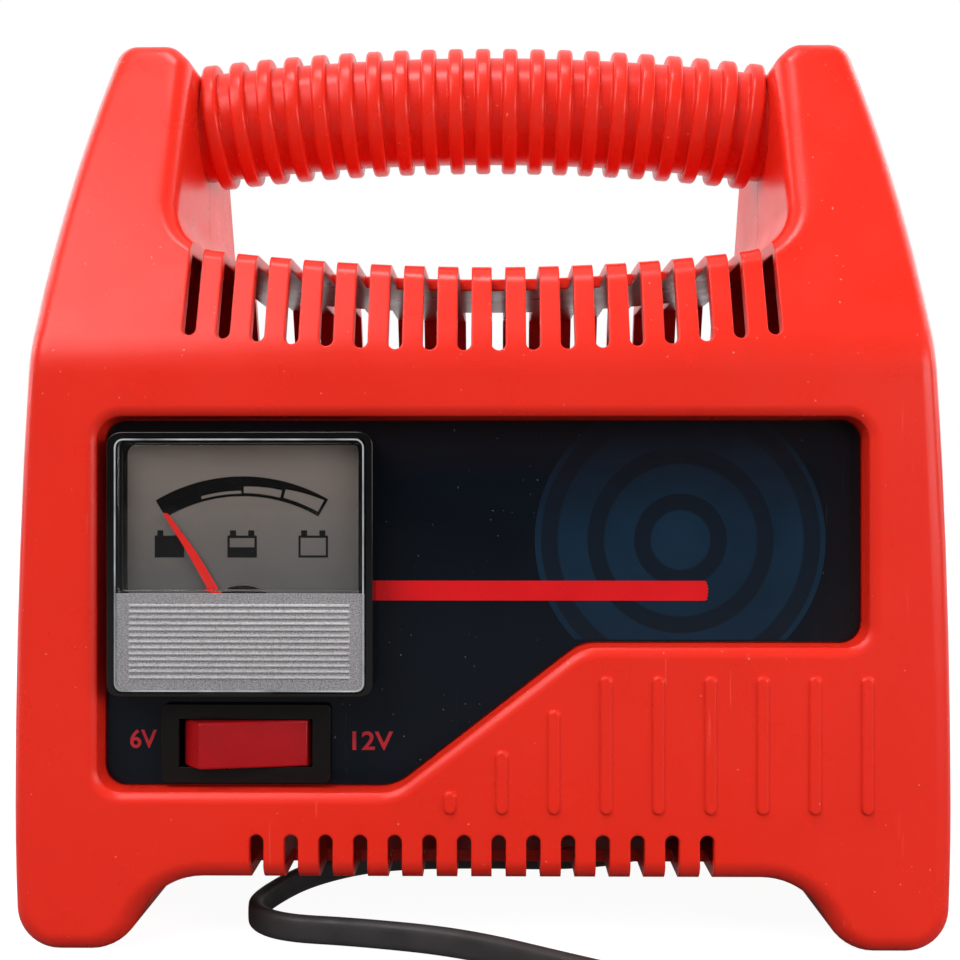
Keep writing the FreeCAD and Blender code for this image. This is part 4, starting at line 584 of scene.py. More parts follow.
def soften(piece: Piece, width_mm: float, segments: int = 2, degrees: float = 35.0) -> None:
    """Round the piece's sharp edges.

    Args:
        piece: The piece to soften.
        width_mm: The width of the rounding.
        segments: The number of faces across it.
        degrees: Edges sharper than this are rounded.
    """
    bevel = piece.modifiers.new("soft_edges", "BEVEL")
    bevel.width = width_mm * MM
    bevel.segments = segments
    bevel.limit_method = "ANGLE"
    bevel.angle_limit = math.radians(degrees)
    bevel.use_clamp_overlap = True
    bevel.harden_normals = True


def level_normals(piece: Piece, degrees: float = 35.0) -> None:
    """Shade the piece so that broad faces look flat and the narrow strips between them look round.

    Args:
        piece: The piece to shade.
        degrees: Faces that meet at more than this keep a sharp edge.
    """
    data = piece.data
    around: list[list[tuple[Vector, float]]] = [[] for _ in data.vertices]
    for face in data.polygons:
        for vertex in face.vertices:
            around[vertex].append((face.normal.copy(), face.area))
    limit = math.cos(math.radians(degrees))
    normals = [Vector() for _ in data.loops]
    for face in data.polygons:
        own = face.normal.copy()
        for loop, vertex in zip(face.loop_indices, face.vertices):
            for normal, area in around[vertex]:
                if normal.dot(own) > limit:
                    normals[loop] += normal * area
    data.normals_split_custom_set([normal.normalized() for normal in normals])


def moved(place: float, rows: Places) -> float:
    """Where a place on one axis goes, on straight runs between the given rows and beyond them.

    Args:
        place: The place.
        rows: Places and where they go, in rising order.

    Returns:
        The new place.
    """
    for (low, to_low), (high, to_high) in zip(rows, rows[1:]):
        if place <= high or high == rows[-1][0]:
            return to_low + (place - low) * (to_high - to_low) / (high - low)
    return place


def copied(node: str) -> Mesh:
    """A CAD node's shape, with its loose triangles joined.

    Args:
        node: The node's name.

    Returns:
        A new bmesh in metres.
    """
    mesh = bmesh.new()
    mesh.from_mesh(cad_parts[node].data)
    bmesh.ops.remove_doubles(mesh, verts=mesh.verts, dist=0.002 * MM)
    return mesh


def flatten(mesh: Mesh) -> None:
    """Merge the triangles of each flat face."""
    bmesh.ops.dissolve_limit(mesh, angle_limit=math.radians(0.6), verts=mesh.verts, edges=mesh.edges)


def finer_copy(node: str, name: str, paint: Paint, edge_mm: float, segments: int = 3, heights: Places = STAYS,
               widths: Places = STAYS, body: Body = Body.CHARGER) -> Piece:
    """Replace a node by a copy whose edges are rounded.

    Args:
        node: The node to stand for.
        name: The new piece's name.
        paint: Its finish.
        edge_mm: The width of the rounding.
        segments: The number of faces across it.
        heights: Heights in millimetres and where they go, with straight runs between them.
        widths: The same for places across the front.
        body: The body that it rides on.

    Returns:
        The new object.
    """
    mesh = copied(node)
    for vertex in mesh.verts:
        vertex.co.z = moved(vertex.co.z / MM, heights) * MM
        vertex.co.x = moved(vertex.co.x / MM, widths) * MM
    flatten(mesh)
    piece = new_piece(name, mesh, paint, body)
    soften(piece, edge_mm, segments)
    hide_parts(node)
    return piece


def thicken(mesh: Mesh, faces: list[bmesh.types.BMFace], depth: float) -> None:
    """Extrude faces towards the front.

    Args:
        mesh: The bmesh that holds them.
        faces: The faces.
        depth: How far they go, in millimetres.
    """
    grown = bmesh.ops.extrude_face_region(mesh, geom=faces)["geom"]
    bmesh.ops.translate(mesh, verts=[item for item in grown if isinstance(item, bmesh.types.BMVert)],
                        vec=(0, -depth * MM, 0))


def front_face(mesh: Mesh, outline: list[Pair], ahead: float) -> bmesh.types.BMFace:
    """One upright face, from its outline in millimetres.

    Args:
        mesh: The bmesh to add it to.
        outline: Its corners as x and z.
        ahead: How far it lies in front of the seam.

    Returns:
        The new face.
    """
    return mesh.faces.new([mesh.verts.new(Vector((x, -ahead, z)) * MM) for x, z in outline])


def slab(name: str, outline: list[Pair], ahead: float, thickness: float, paint: Paint,
         body: Body = Body.CHARGER) -> Piece:
    """A flat piece that faces the front, from its outline in millimetres.

    Args:
        name: The piece's name.
        outline: Its corners as x and z.
        ahead: How far its back lies in front of the seam.
        thickness: Its thickness.
        paint: Its finish.
        body: The body that it rides on.

    Returns:
        The new object.
    """
    mesh = bmesh.new()
    thicken(mesh, [front_face(mesh, outline, ahead)], thickness)
    bmesh.ops.recalc_face_normals(mesh, faces=mesh.faces)
    return new_piece(name, mesh, paint, body)


def arc_points(centre: Pair, radius: float, start: float, end: float, steps: int) -> list[Pair]:
    """Points along an arc.

    Args:
        centre: The arc's middle.
        radius: Its radius.
        start: The angle of its first point, in degrees from the right and counterclockwise.
        end: The angle of its last point.
        steps: The number of runs between its points.

    Returns:
        The points.
    """
    return [(centre[0] + radius * math.cos(math.radians(start + (end - start) * i / steps)),
             centre[1] + radius * math.sin(math.radians(start + (end - start) * i / steps)))
            for i in range(steps + 1)]


def plate(x: Pair, z: Pair, ahead: float, thickness: float, into: Mesh | None = None) -> Mesh:
    """A thin upright plate that faces the front, in millimetres.

    Args:
        x: Its left and right.
        z: Its bottom and top.
        ahead: How far its back lies in front of the seam.
        thickness: Its thickness.
        into: A bmesh to add it to.

    Returns:
        The bmesh that holds it, in metres.
    """
    mesh = into or bmesh.new()
    made = bmesh.ops.create_cube(mesh, size=1.0)["verts"]
    size = Vector((x[1] - x[0], thickness, z[1] - z[0])) * MM
    middle = Vector(((x[0] + x[1]) / 2, -ahead - thickness / 2, (z[0] + z[1]) / 2)) * MM
    bmesh.ops.scale(mesh, verts=made, vec=size)
    bmesh.ops.translate(mesh, verts=made, vec=middle)
    return mesh


# ---- Studio

@dataclass
class Studio:
    """Camera where the photograph was taken, with a pale floor and soft light."""

    eye_mm: Triple = (2.36, -306.9, 90.3)
    focal_px: float = 1368.0
    frame_px: float = 960.0
    yaw_degrees: float = 0.576
    white: str = "#FFFFFF"
    paper: str = "#6E6E6E"
    paper_glow: float = 0.95
    level: float = 0.5
    dark: float = 0.04
    target: Triple = (0, 0, 0.09)
    floor_half: float = 4.0
    glow_reach: Pair = (0.2, 0.9)
    mirror_reach: Pair = (-0.03, 0.16)
    mirror_glow: float = 0.85
    room_reach: Pair = (-0.25, 0.15)
    lamps: tuple[tuple[str, Triple, Pair, float], ...] = (
        ("key", (-0.5, -0.7, 0.8), (0.6, 0.6), 6.9),
        ("fill", (0.75, -0.65, 0.25), (0.7, 0.4), 4.1),
        ("top", (-0.08, -0.33, 1.15), (0.34, 0.2), 4.3),
        ("rear_left", (-0.8, 0.6, 0.6), (0.5, 0.9), 3.5),
        ("rear_right", (0.8, 0.6, 0.6), (0.5, 0.9), 3.5),
        ("edge_left", (-0.82, 0.1, 0.42), (0.1, 0.6), 1.6),
        ("edge_right", (0.82, 0.1, 0.42), (0.1, 0.6), 1.1))

    def camera(self) -> None:
        """Set the camera up with the photograph's place and lens."""
        data = bpy.data.cameras.new("camera")
        data.sensor_width = 36.0
        data.lens = 36.0 * self.focal_px / self.frame_px
        data.clip_start = 0.01
        camera = in_scene("camera", data)
        camera.location = Vector(self.eye_mm) * MM
        camera.rotation_euler = (math.pi / 2, 0, math.radians(self.yaw_degrees))
        bpy.context.scene.camera = camera

    def lights(self) -> None:
        """Hang the lamps, each turned to the middle of the case."""
        for name, place, size, power in self.lamps:
            data = bpy.data.lights.new(name, "AREA")
            data.shape = "RECTANGLE"
            data.size, data.size_y = size
            data.energy = power
            lamp = in_scene(name, data)
            lamp.location = place
            lamp.rotation_euler = (Vector(self.target) - Vector(place)).to_track_quat("-Z", "Y").to_euler()

    def by_ray(self, tree: Tree, strength: float, mirrored: Output, seen: float | Output) -> Output:
        """Give the backdrop its own strength in gloss, in glass and to the eye.

        Args:
            tree: The node tree.
            strength: The strength to every other ray, which lights the object.
            mirrored: The strength in gloss and through glass.
            seen: The strength to the camera.

        Returns:
            The strength that suits the ray.
        """
        path = add_node(tree, "LightPath")
        for ray, value in (("Is Glossy Ray", mirrored), ("Is Transmission Ray", mirrored), ("Is Camera Ray", seen)):
            strength = add_node(tree, "Mix", {0: path.outputs[ray], 2: strength, 3: value})
        return strength

    def world(self) -> None:
        """White backdrop to the eye and in gloss, a dark room behind the camera, and a plain level elsewhere."""
        world = bpy.data.worlds.new("world")
        world.use_nodes = True
        bpy.context.scene.world = world
        tree = world.node_tree
        tree.nodes.clear()
        way = add_node(tree, "SeparateXYZ", {0: add_node(tree, "TexCoord").outputs["Generated"]})
        room = add_node(tree, "MapRange", {0: way.outputs[1], 1: self.room_reach[0], 2: self.room_reach[1],
                                           3: self.dark, 4: 1.0})
        light = add_node(tree, "Background", {"Color": linear(self.white),
                                              "Strength": self.by_ray(tree, self.level, room, 1.0)})
        add_node(tree, "OutputWorld", {0: light})

    def floor(self) -> None:
        """A wide sheet of paper that is white to the eye and keeps the shadow."""
        mesh = bmesh.new()
        bmesh.ops.create_grid(mesh, x_segments=1, y_segments=1, size=self.floor_half)
        data = bpy.data.meshes.new("floor")
        mesh.to_mesh(data)
        mesh.free()
        # Uncoated paper: even, with no highlight, so that only the shadow shows on it.
        material = bpy.data.materials.new("studio_paper")
        material.use_nodes = True
        tree = material.node_tree
        shader = tree.nodes["Principled BSDF"]
        shader.inputs["Base Color"].default_value = linear(self.paper)
        shader.inputs["Roughness"].default_value = 0.95
        shader.inputs["Emission Color"].default_value = linear(self.white)
        place = add_node(tree, "TexCoord").outputs["Object"]
        away = add_node(tree, "VectorMath", {0: place}, operation="LENGTH").outputs[1]
        glow = add_node(tree, "MapRange", {0: away, 1: self.glow_reach[0], 2: self.glow_reach[1],
                                           3: self.paper_glow, 4: 1.0})
        behind = add_node(tree, "MapRange", {0: own_axes(tree)[1], 1: self.mirror_reach[0], 2: self.mirror_reach[1],
                                             3: 0.0, 4: self.mirror_glow})
        strength = self.by_ray(tree, 0.0, behind, glow)
        tree.links.new(strength.outputs[0], shader.inputs["Emission Strength"])
        data.materials.append(material)
        in_scene("floor", data)

    def build(self) -> None:
        """Set up the camera, the light and the floor."""
        self.camera()
        self.lights()
        self.world()
        self.floor()
        bpy.context.scene.view_settings.view_transform = "Standard"


# ---- Mains lead

@dataclass
class MainsLead:
    """Flat two-core lead from the strain relief to the plug, in one spline. Sizes are in millimetres.

    It falls from the relief, follows the route on the floor and ends in a coil of two layers with the plug beside it.
    """

    width: float = 5.4
    thickness: float = 3.3
    rest: float = 2.85
    relief_tip: Triple = (-12, 69.5, 25)
    fall: tuple[Triple, ...] = ((-12, 85.5, 25), (-9.5, 102.5, 14), (0, 113, 4.7))
    route: Places = (
        (17, 118.5), (35, 114), (46.5, 99), (50, 76), (48, 54), (45, 34), (38, 17), (20, 9.5), (-2, 11), (-24, 9),
        (-38, -3), (-44.5, -18), (-47, -31), (-40, -40), (-24, -42.5), (-3, -48.5), (16, -62))
    coil_centre: Pair = (37.2, -121)
    coil_start_degrees: float = 60.0
    coil_radius: float = 30.1
    coil_pitch: float = 5.9
    turns_per_layer: float = 2.75
    points_per_turn: int = 16
    plug_height: float = 6.8
    twist_height: float = 2.6
    run_in: float = 16.0
    run_out: float = 10.0
    plug_run: Pair = (23.0, 36.0)
    tie_width: float = 4.0
    tie_wall: float = 0.8
    tie_gap: float = 0.3
    tie_corner: float = 1.2
    length_mm: float = 1501.0

    def station(self, turns: float) -> Vector:
        """Where the lead lies in the coil.

        Args:
            turns: The number of turns from the coil's start.

        Returns:
            The place in millimetres.
        """
        radius = self.coil_radius + self.coil_pitch * (abs(turns - self.turns_per_layer) - self.turns_per_layer / 2)
        angle = math.radians(self.coil_start_degrees - 360 * turns)
        climb = min(max((turns - self.turns_per_layer + 0.25) / 0.5, 0), 1)
        height = self.thickness / 2 + 0.1 + (self.thickness + 0.15) * climb
        return Vector((self.coil_centre[0] + radius * math.cos(angle),
                       self.coil_centre[1] + radius * math.sin(angle), height))

    def points(self) -> list[tuple[Vector, float]]:
        """List the route's points.

        Returns:
            Each place in millimetres, with its turn from upright to flat.
        """
        flat = math.pi / 2
        turns = 2 * self.turns_per_layer
        count = int(self.points_per_turn * turns)
        coil = [self.station(index / self.points_per_turn) for index in range(count + 1)]
        start, end = coil[0], coil[-1]
        first = (self.station(1e-4) - start).normalized()
        last = (self.station(turns + 1e-4) - end).normalized()
        rows = [(Vector(point), 0.0) for point in (self.relief_tip, *self.fall)]
        rows += [(Vector((*point, self.rest)), 0.0) for point in self.route]
        before = start - first * (self.width + self.run_in)
        near = start - first * self.width
        rows += [(Vector((before.x, before.y, self.rest)), 0.0),
                 (Vector((near.x, near.y, self.twist_height)), flat * 0.7)]
        rows += [(point, flat) for point in coil]
        rows += [(end + last * reach, flat) for reach in (self.width, self.width + self.run_out)]
        level = Vector((end.x, end.y, self.plug_height))
        return rows + [(level + last * (self.width + reach), flat) for reach in self.plug_run]

    def line(self, name: str) -> Piece:
        """Make the route's spline, with no thickness.

        Args:
            name: The curve's name.

        Returns:
            The curve object.
        """
        curve = bpy.data.curves.new(name, "CURVE")
        curve.dimensions = "3D"
        curve.twist_mode = "Z_UP"
        curve.resolution_u = 8
        rows = self.points()
        spline = curve.splines.new("NURBS")
        spline.points.add(len(rows) - 1)
        for point, (place, tilt) in zip(spline.points, rows):
            point.co = (*(place * MM), 1.0)
            point.tilt = tilt
        spline.order_u = 3
        spline.use_endpoint_u = True
        return in_scene(name, curve)

    def section(self) -> Piece:
        """The lead's flat section: two round cores side by side with a shallow waist.

        Returns:
            A closed flat curve.
        """
        curve = bpy.data.curves.new("lead_section", "CURVE")
        curve.dimensions = "2D"
        spline = curve.splines.new("POLY")
        steps = 28
        spline.points.add(steps - 1)
        core = self.thickness / 2
        shift = self.width / 2 - core
        for index, point in enumerate(spline.points):
            angle = 2 * math.pi * index / steps
            across = core * math.cos(angle) * (1 - 0.09 * abs(math.cos(angle)) ** 6)
            point.co = (across * MM, (core * math.sin(angle) + shift * math.copysign(
                min(abs(math.sin(angle)) * 3, 1), math.sin(angle))) * MM, 0, 1)
        spline.use_cyclic_u = True
        return in_scene("lead_section", curve)

    def build(self) -> None:
        """Lay the lead and dress its plug, pins, tie and bushes."""
        route, section = self.line("route"), self.section()
        path = [tuple(vertex.co) for vertex in as_mesh(route).vertices]
        route.data.bevel_mode = "OBJECT"
        route.data.bevel_object = section
        route.data.use_fill_caps = True
        mesh = bmesh.new()
        mesh.from_mesh(as_mesh(route))
        bmesh.ops.remove_doubles(mesh, verts=mesh.verts, dist=0.001 * MM)
        bmesh.ops.recalc_face_normals(mesh, faces=mesh.faces)
        for leftover in (route, section):
            bpy.data.objects.remove(leftover)
        lead = new_piece("mains_cord", mesh, Paint.LEAD, smooth_degrees=50)
        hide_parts("mains_lead", "mains_lead_coil", "mains_lead_tail")
        tie = self.tie()
        plug = finer_copy("mains_plug", "plug_body", Paint.RUBBER, 0.8)
        pins = finer_copy("plug_pins", "plug_contacts", Paint.BRASS, 0.5)
        length = sum((Vector(a) - Vector(b)).length for a, b in zip(path, path[1:]))
        LOG.info("lead is %.0f mm long", length / MM)
        dress(Paint.RUBBER, "outlet_grommet")
        finer_copy("mains_strain_relief", "relief_bush", Paint.RUBBER, 0.4)

    def tie(self) -> Piece:
        """A band round the coil at its left.

        Returns:
            The band's piece.
        """
        share = (self.coil_start_degrees - 180) / 360 % 1
        places = [self.station(turn + share) for turn in range(int(2 * self.turns_per_layer))]
        half = self.width / 2 + self.tie_gap
        left = min(place.x for place in places) - half
        right = max(place.x for place in places) + half
        top = max(place.z for place in places) + self.thickness / 2 + self.tie_gap
        mesh = plate((left, right), (0.1, top), -self.coil_centre[1] - self.tie_width / 2, self.tie_width)
        ends = [face for face in mesh.faces if abs(face.normal.y) > 0.9]
        bmesh.ops.delete(mesh, geom=ends, context="FACES")
        along = [edge for edge in mesh.edges
                 if abs((edge.verts[0].co - edge.verts[1].co).y) > 0.5 * self.tie_width * MM]
        bmesh.ops.bevel(mesh, geom=along, offset=self.tie_corner * MM, segments=4, profile=0.5, affect="EDGES",
                        material=-1)
        bmesh.ops.recalc_face_normals(mesh, faces=mesh.faces)
        bmesh.ops.solidify(mesh, geom=mesh.faces, thickness=self.tie_wall * MM)
        tie = new_piece("coil_band", mesh, Paint.TIE)
        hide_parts("coil_tie")
        return tie


# ---- Case and panel

@dataclass
class Case:
    """The two red halves and their screws. Sizes are in millimetres.

    The window is the half width, the bottom and the top of the area whose edges are the window's.
    """

    axis_height: float = 172.8
    bend: float = 500.0
    rib_pitch: float = 5.89
    rib_count: int = 21
    cad_half: float = 1.3
    cad_radius: float = 13.8
    core_radius: float = 11.6
    rib_half: float = 1.62
    rib_radius: float = 13.6
    rib_edge: float = 0.8
    rib_reach: float = 1.6
    rib_band: Pair = (11.0, 15.0)
    front: float = 47.0
    vent_edge: float = 0.35
    lip_edge: float = 1.1
    sharp_degrees: float = 50.0
    lip_degrees: float = 15.0
    window: Triple = (78.0, 26.0, 106.0)

    def ribs(self, mesh: Mesh) -> list[bmesh.types.BMVert]:
        """Widen the ribs of the handle to their measured size.

        Args:
            mesh: A half of the case.

        Returns:
            The vertices on the ribs' rims.
        """
        rims = []
        step = self.rib_pitch / self.bend
        for vertex in mesh.verts:
            x, y, z = vertex.co / MM
            lift = z - self.axis_height + self.bend
            reach = math.hypot(x, lift)
            off = math.hypot(reach - self.bend, y)
            angle = math.atan2(x, lift)
            joint = round(angle / step) * step
            along = (angle - joint) * self.bend
            low, high = self.rib_band
            if abs(joint) > step * self.rib_count / 2 or abs(along) > self.rib_reach or not low < off < high:
                continue
            rim = off > (self.cad_radius + self.core_radius) / 2
            grow = self.rib_radius / self.cad_radius if rim else 1.0
            radius = self.bend + (reach - self.bend) * grow
            turned = joint + along * self.rib_half / self.cad_half / self.bend
            vertex.co = Vector((radius * math.sin(turned), y * grow,
                                self.axis_height - self.bend + radius * math.cos(turned))) * MM
            if rim:
                rims.append(vertex)
        return rims

    def at_window(self, edge: bmesh.types.BMEdge) -> bool:
        """Whether an edge on the front face lies round the window."""
        return all(abs(vertex.co.x) < self.window[0] * MM and self.window[1] * MM < vertex.co.z < self.window[2] * MM
                   for vertex in edge.verts)

    def shell(self, node: str, name: str) -> None:
        """Copy one half, with rounded ribs, vents and window lip.

        Args:
            node: The half's node.
            name: The new piece's name.
        """
        mesh = copied(node)
        flatten(mesh)
        rims = set(self.ribs(mesh))
        mesh.normal_update()
        rounded: dict[float, list[bmesh.types.BMEdge]] = {self.rib_edge: [], self.vent_edge: [], self.lip_edge: []}
        for edge in mesh.edges:
            if len(edge.link_faces) != 2 or not edge.is_convex:
                continue
            angle = math.degrees(edge.calc_face_angle())
            ahead = [-vertex.co.y / MM for vertex in edge.verts]
            if rims.issuperset(edge.verts):
                if angle > self.sharp_degrees and max(map(abs, ahead)) > 0.01:
                    rounded[self.rib_edge].append(edge)
            elif min(ahead) > self.front - 0.05 and angle > self.sharp_degrees:
                rounded[self.vent_edge].append(edge)
            elif min(ahead) > self.front - 0.05 and angle > self.lip_degrees and self.at_window(edge):
                rounded[self.lip_edge].append(edge)
        for width, edges in rounded.items():
            bmesh.ops.bevel(mesh, geom=[edge for edge in edges if edge.is_valid], offset=width * MM,
                            segments=3, profile=0.5, affect="EDGES", clamp_overlap=False, material=-1)
            LOG.info("%s: %d edges rounded by %.2f mm", name, len(edges), width)
        shell = new_piece(name, mesh, Paint.SHELL)
        level_normals(shell)
        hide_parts(node)

    def build(self) -> None:
        """Dress the shells and the screws that hold them."""
        self.shell("front_cover", "front_shell")
        self.shell("rear_cover", "rear_shell")
        dress(Paint.STEEL, "case_screws")


@dataclass
class Panel:
    """Dark film in the window, with its printed stripe, disc and labels. Sizes are in millimetres.

    The worn end of the stripe is a row of steps past its length and shares of its height. A label is its name, its
    marking, its middle across and up, and its width.
    """

    face: float = 41.8
    ink: float = 0.06
    stripe_x: Pair = (-21.0, 43.6)
    stripe_z: Pair = (66.95, 70.8)
    worn_end: Places = (
        (-0.6, 0), (-0.1, 0.03), (0.1, 0.1), (-0.05, 0.16), (0.2, 0.24), (0.05, 0.33), (0.25, 0.42), (0.1, 0.5),
        (0.3, 0.6), (0.05, 0.68), (0.2, 0.78), (-0.15, 0.84), (0.0, 0.92), (-0.5, 1.0))
    disc_centre: Pair = (38.4, 78.7)
    disc_radius: float = 28.1
    disc_low: float = 59.4
    disc_high: float = 101.6
    label_height: float = 3.65
    label_boldness: float = 0.018
    labels: tuple[tuple[str, str, float, float, float], ...] = (
        ("label_low", "6V", -65.65, 40.05, 5.2), ("label_high", "12V", -21.1, 39.75, 7.9))

    def disc(self) -> None:
        """The printed disc, cut off where the film ends."""
        mesh = bmesh.new()
        turn = Matrix.Rotation(math.pi / 2, 4, "X")
        place = Matrix.Translation(Vector((self.disc_centre[0], -self.face - self.ink / 2, self.disc_centre[1])) * MM)
        bmesh.ops.create_cone(mesh, cap_ends=True, segments=128, radius1=self.disc_radius * MM,
                              radius2=self.disc_radius * MM, depth=self.ink * MM, matrix=place @ turn)
        for height, way in ((self.disc_low, -1), (self.disc_high, 1)):
            cut = bmesh.ops.bisect_plane(mesh, geom=mesh.verts[:] + mesh.edges[:] + mesh.faces[:],
                                         plane_co=(0, 0, height * MM), plane_no=(0, 0, way), clear_outer=True)
            bmesh.ops.holes_fill(mesh, edges=[item for item in cut["geom_cut"]
                                              if isinstance(item, bmesh.types.BMEdge)])
        new_piece("panel_disc", mesh, Paint.DISC)

    def label(self, name: str, words: str, x: float, z: float, width: float) -> None:
        """Print a label, scaled to its measured width and height.

        Args:
            name: The piece's name.
            words: The generic marking.
            x: Its middle across the front.
            z: Its middle's height.
            width: Its width.
        """
        curve = bpy.data.curves.new(name, "FONT")
        curve.body = words
        curve.offset = self.label_boldness
        curve.extrude = 0.02
        text = in_scene(name + "_text", curve)
        mesh = bmesh.new()
        mesh.from_mesh(as_mesh(text))
        bpy.data.objects.remove(text)
        bmesh.ops.remove_doubles(mesh, verts=mesh.verts, dist=1e-5)
        spans = [(min(v.co[axis] for v in mesh.verts), max(v.co[axis] for v in mesh.verts)) for axis in range(3)]
        middle = Vector([(low + high) / 2 for low, high in spans])
        scale = Vector((width / (spans[0][1] - spans[0][0]), self.label_height / (spans[1][1] - spans[1][0]),
                        self.ink / (spans[2][1] - spans[2][0]))) * MM
        bmesh.ops.translate(mesh, verts=mesh.verts, vec=-middle)
        bmesh.ops.scale(mesh, verts=mesh.verts, vec=scale)
        bmesh.ops.rotate(mesh, verts=mesh.verts, matrix=Matrix.Rotation(math.pi / 2, 3, "X"))
        bmesh.ops.translate(mesh, verts=mesh.verts, vec=Vector((x, -self.face - self.ink / 2, z)) * MM)
        new_piece(name, mesh, Paint.LABEL)

    def build(self) -> None:
        """Dress the film and print on it."""
        dress(Paint.FILM, "front_panel")
        self.disc()
        (left, right), (low, high) = self.stripe_x, self.stripe_z
        ragged = [(right + across, low + (high - low) * share) for across, share in self.worn_end]
        slab("panel_stripe", [(left, low), *ragged, (left, high)], self.face + self.ink, self.ink, Paint.STRIPE)
        for row in self.labels:
            self.label(*row)


# ---- Meter

@dataclass
class Meter:
    """Square panel meter with a printed dial and a red needle. Sizes are in millimetres.

    A cell of the scale has its start and end in degrees, its inner radius, and its outer radius at both ends. An
    icon's window has its margins at the sides, below and above.
    """

    face: float = 49.5
    dial_back: float = 44.0
    dial_face: float = 44.5
    dial_x: Pair = (-67.9, -23.1)
    dial_z: Pair = (52.15, 97.4)
    dial_corner: float = 2.4
    opening_centre: Pair = (-45.75, 62.2)
    opening_radius: float = 7.9
    ink: float = 0.04
    arc_centre: Pair = (-45.75, 58.3)
    arc_outer: float = 32.7
    arc_inner: float = 28.9
    arc_degrees: Pair = (-30.8, 30.1)
    cells: tuple[tuple[float, float, float, float, float], ...] = (
        (-15.5, -0.6, 29.4, 29.95, 29.95), (0.4, 14.1, 29.5, 30.75, 30.95), (15.3, 29.05, 29.65, 31.3, 32.15))
    icon_size: Pair = (5.65, 4.2)
    icon_base: float = 75.45
    icon_lefts: Triple = (-62.66, -48.7, -35.05)
    icon_windows: tuple[Triple, ...] = ((0, 0, 0), (0.46, 1.97, 0.5), (0.42, 0.42, 0.44))
    pivot: Pair = (-45.7, 58.7)
    hub_radius: float = 2.2
    needle_ahead: float = 45.5
    needle_thickness: float = 0.4
    blade: Places = ((-60.85, 84.05), (-59.9, 83.9), (-54.3, 76.35), (-49.76, 68.8), (-46.1, 63.6), (-48.15, 62.6),
                     (-51.8, 68.8), (-56.0, 76.35))
    rim: tuple[float, float, float, float] = (-69.3, -22.1, 50.35, 98.1)
    rim_corner: float = 1.7
    rim_line: float = 0.3
    tab_x: Pair = (-53.6, -39.3)
    tab_z: Places = ((98.2, 98.75), (49.6, 50.15))
    tab_back: float = 48.6
    tab_depth: float = 0.55
    post_width: float = 1.15
    post_height: float = 1.0
    post_inset: float = 0.5
    case_heights: Places = ((49.3, 49.3), (50.7, 50.1), (60, 60), (90, 90), (98.5, 98.3), (99.9, 99.4))
    cover_heights: Places = ((50.85, 50.25), (60, 60), (90, 90), (98.35, 98.15))
    trim_heights: Places = ((50.85, 50.3), (53.55, 53.1), (66.75, 66.65), (69.45, 68.85))

    def sector(self, mesh: Mesh, start: float, end: float, inner: Pair, outer: Pair, ahead: float) -> None:
        """Add a curved band by spinning its first edge about the scale's centre.

        Args:
            mesh: The bmesh to add to.
            start: The angle of its left end in degrees from upright.
            end: The angle of its right end.
            inner: Inner radius at the start and at the end.
            outer: Outer radius at the start and at the end.
            ahead: How far its back lies in front of the seam.
        """
        centre = Vector((self.arc_centre[0], -ahead, self.arc_centre[1])) * MM
        verts = [mesh.verts.new(centre + Vector((0, 0, radius * MM))) for radius in (inner[0], outer[0])]
        edge = mesh.edges.new(verts)
        axis = Vector((0, 1, 0))
        bmesh.ops.rotate(mesh, verts=verts, cent=centre, matrix=Matrix.Rotation(math.radians(start), 3, axis))
        steps = max(int((end - start) / 1.5), 2)
        before = set(mesh.faces)
        bmesh.ops.spin(mesh, geom=[*verts, edge], cent=centre, axis=axis, angle=math.radians(end - start),
                       steps=steps)
        faces = [face for face in mesh.faces if face not in before]
        for vertex in {v for face in faces for v in face.verts}:
            arm = vertex.co - centre
            share = (math.degrees(math.atan2(arm.x, arm.z)) - start) / (end - start)
            near_outer = arm.length > (inner[0] + outer[0]) / 2 * MM
            first, last = outer if near_outer else inner
            vertex.co = centre + arm.normalized() * ((first + (last - first) * share) * MM)
        bmesh.ops.recalc_face_normals(mesh, faces=faces)
        if faces[0].normal.y > 0:
            bmesh.ops.reverse_faces(mesh, faces=faces)
        thicken(mesh, faces, self.ink)

    def scale(self) -> None:
        """The curved scale: a black band that thins out to the right, with three open cells."""
        band = bmesh.new()
        self.sector(band, *self.arc_degrees, (self.arc_inner,) * 2, (self.arc_outer,) * 2, self.dial_face)
        new_piece("dial_scale", band, Paint.INK)
        cells = bmesh.new()
        for start, end, low, first, last in self.cells:
            self.sector(cells, start, end, (low, low), (first, last), self.dial_face + self.ink)
        new_piece("dial_scale_cells", cells, Paint.DIAL)

    def icons(self) -> None:
        """Three small batteries: flat, half charged and full."""
        ink, light = bmesh.new(), bmesh.new()
        width, height = self.icon_size
        base = self.icon_base
        for left, (side, low, high) in zip(self.icon_lefts, self.icon_windows):
            plate((left, left + width), (base, base + height), self.dial_face, self.ink, ink)
            for shift in (self.post_inset, width - self.post_width - self.post_inset):
                plate((left + shift, left + shift + self.post_width),
                      (base + height, base + height + self.post_height), self.dial_face, self.ink, ink)
            if side:
                plate((left + side, left + width - side), (base + low, base + height - high),
                      self.dial_face + self.ink, self.ink, light)
        new_piece("dial_icons", ink, Paint.INK)
        new_piece("dial_icon_windows", light, Paint.DIAL)

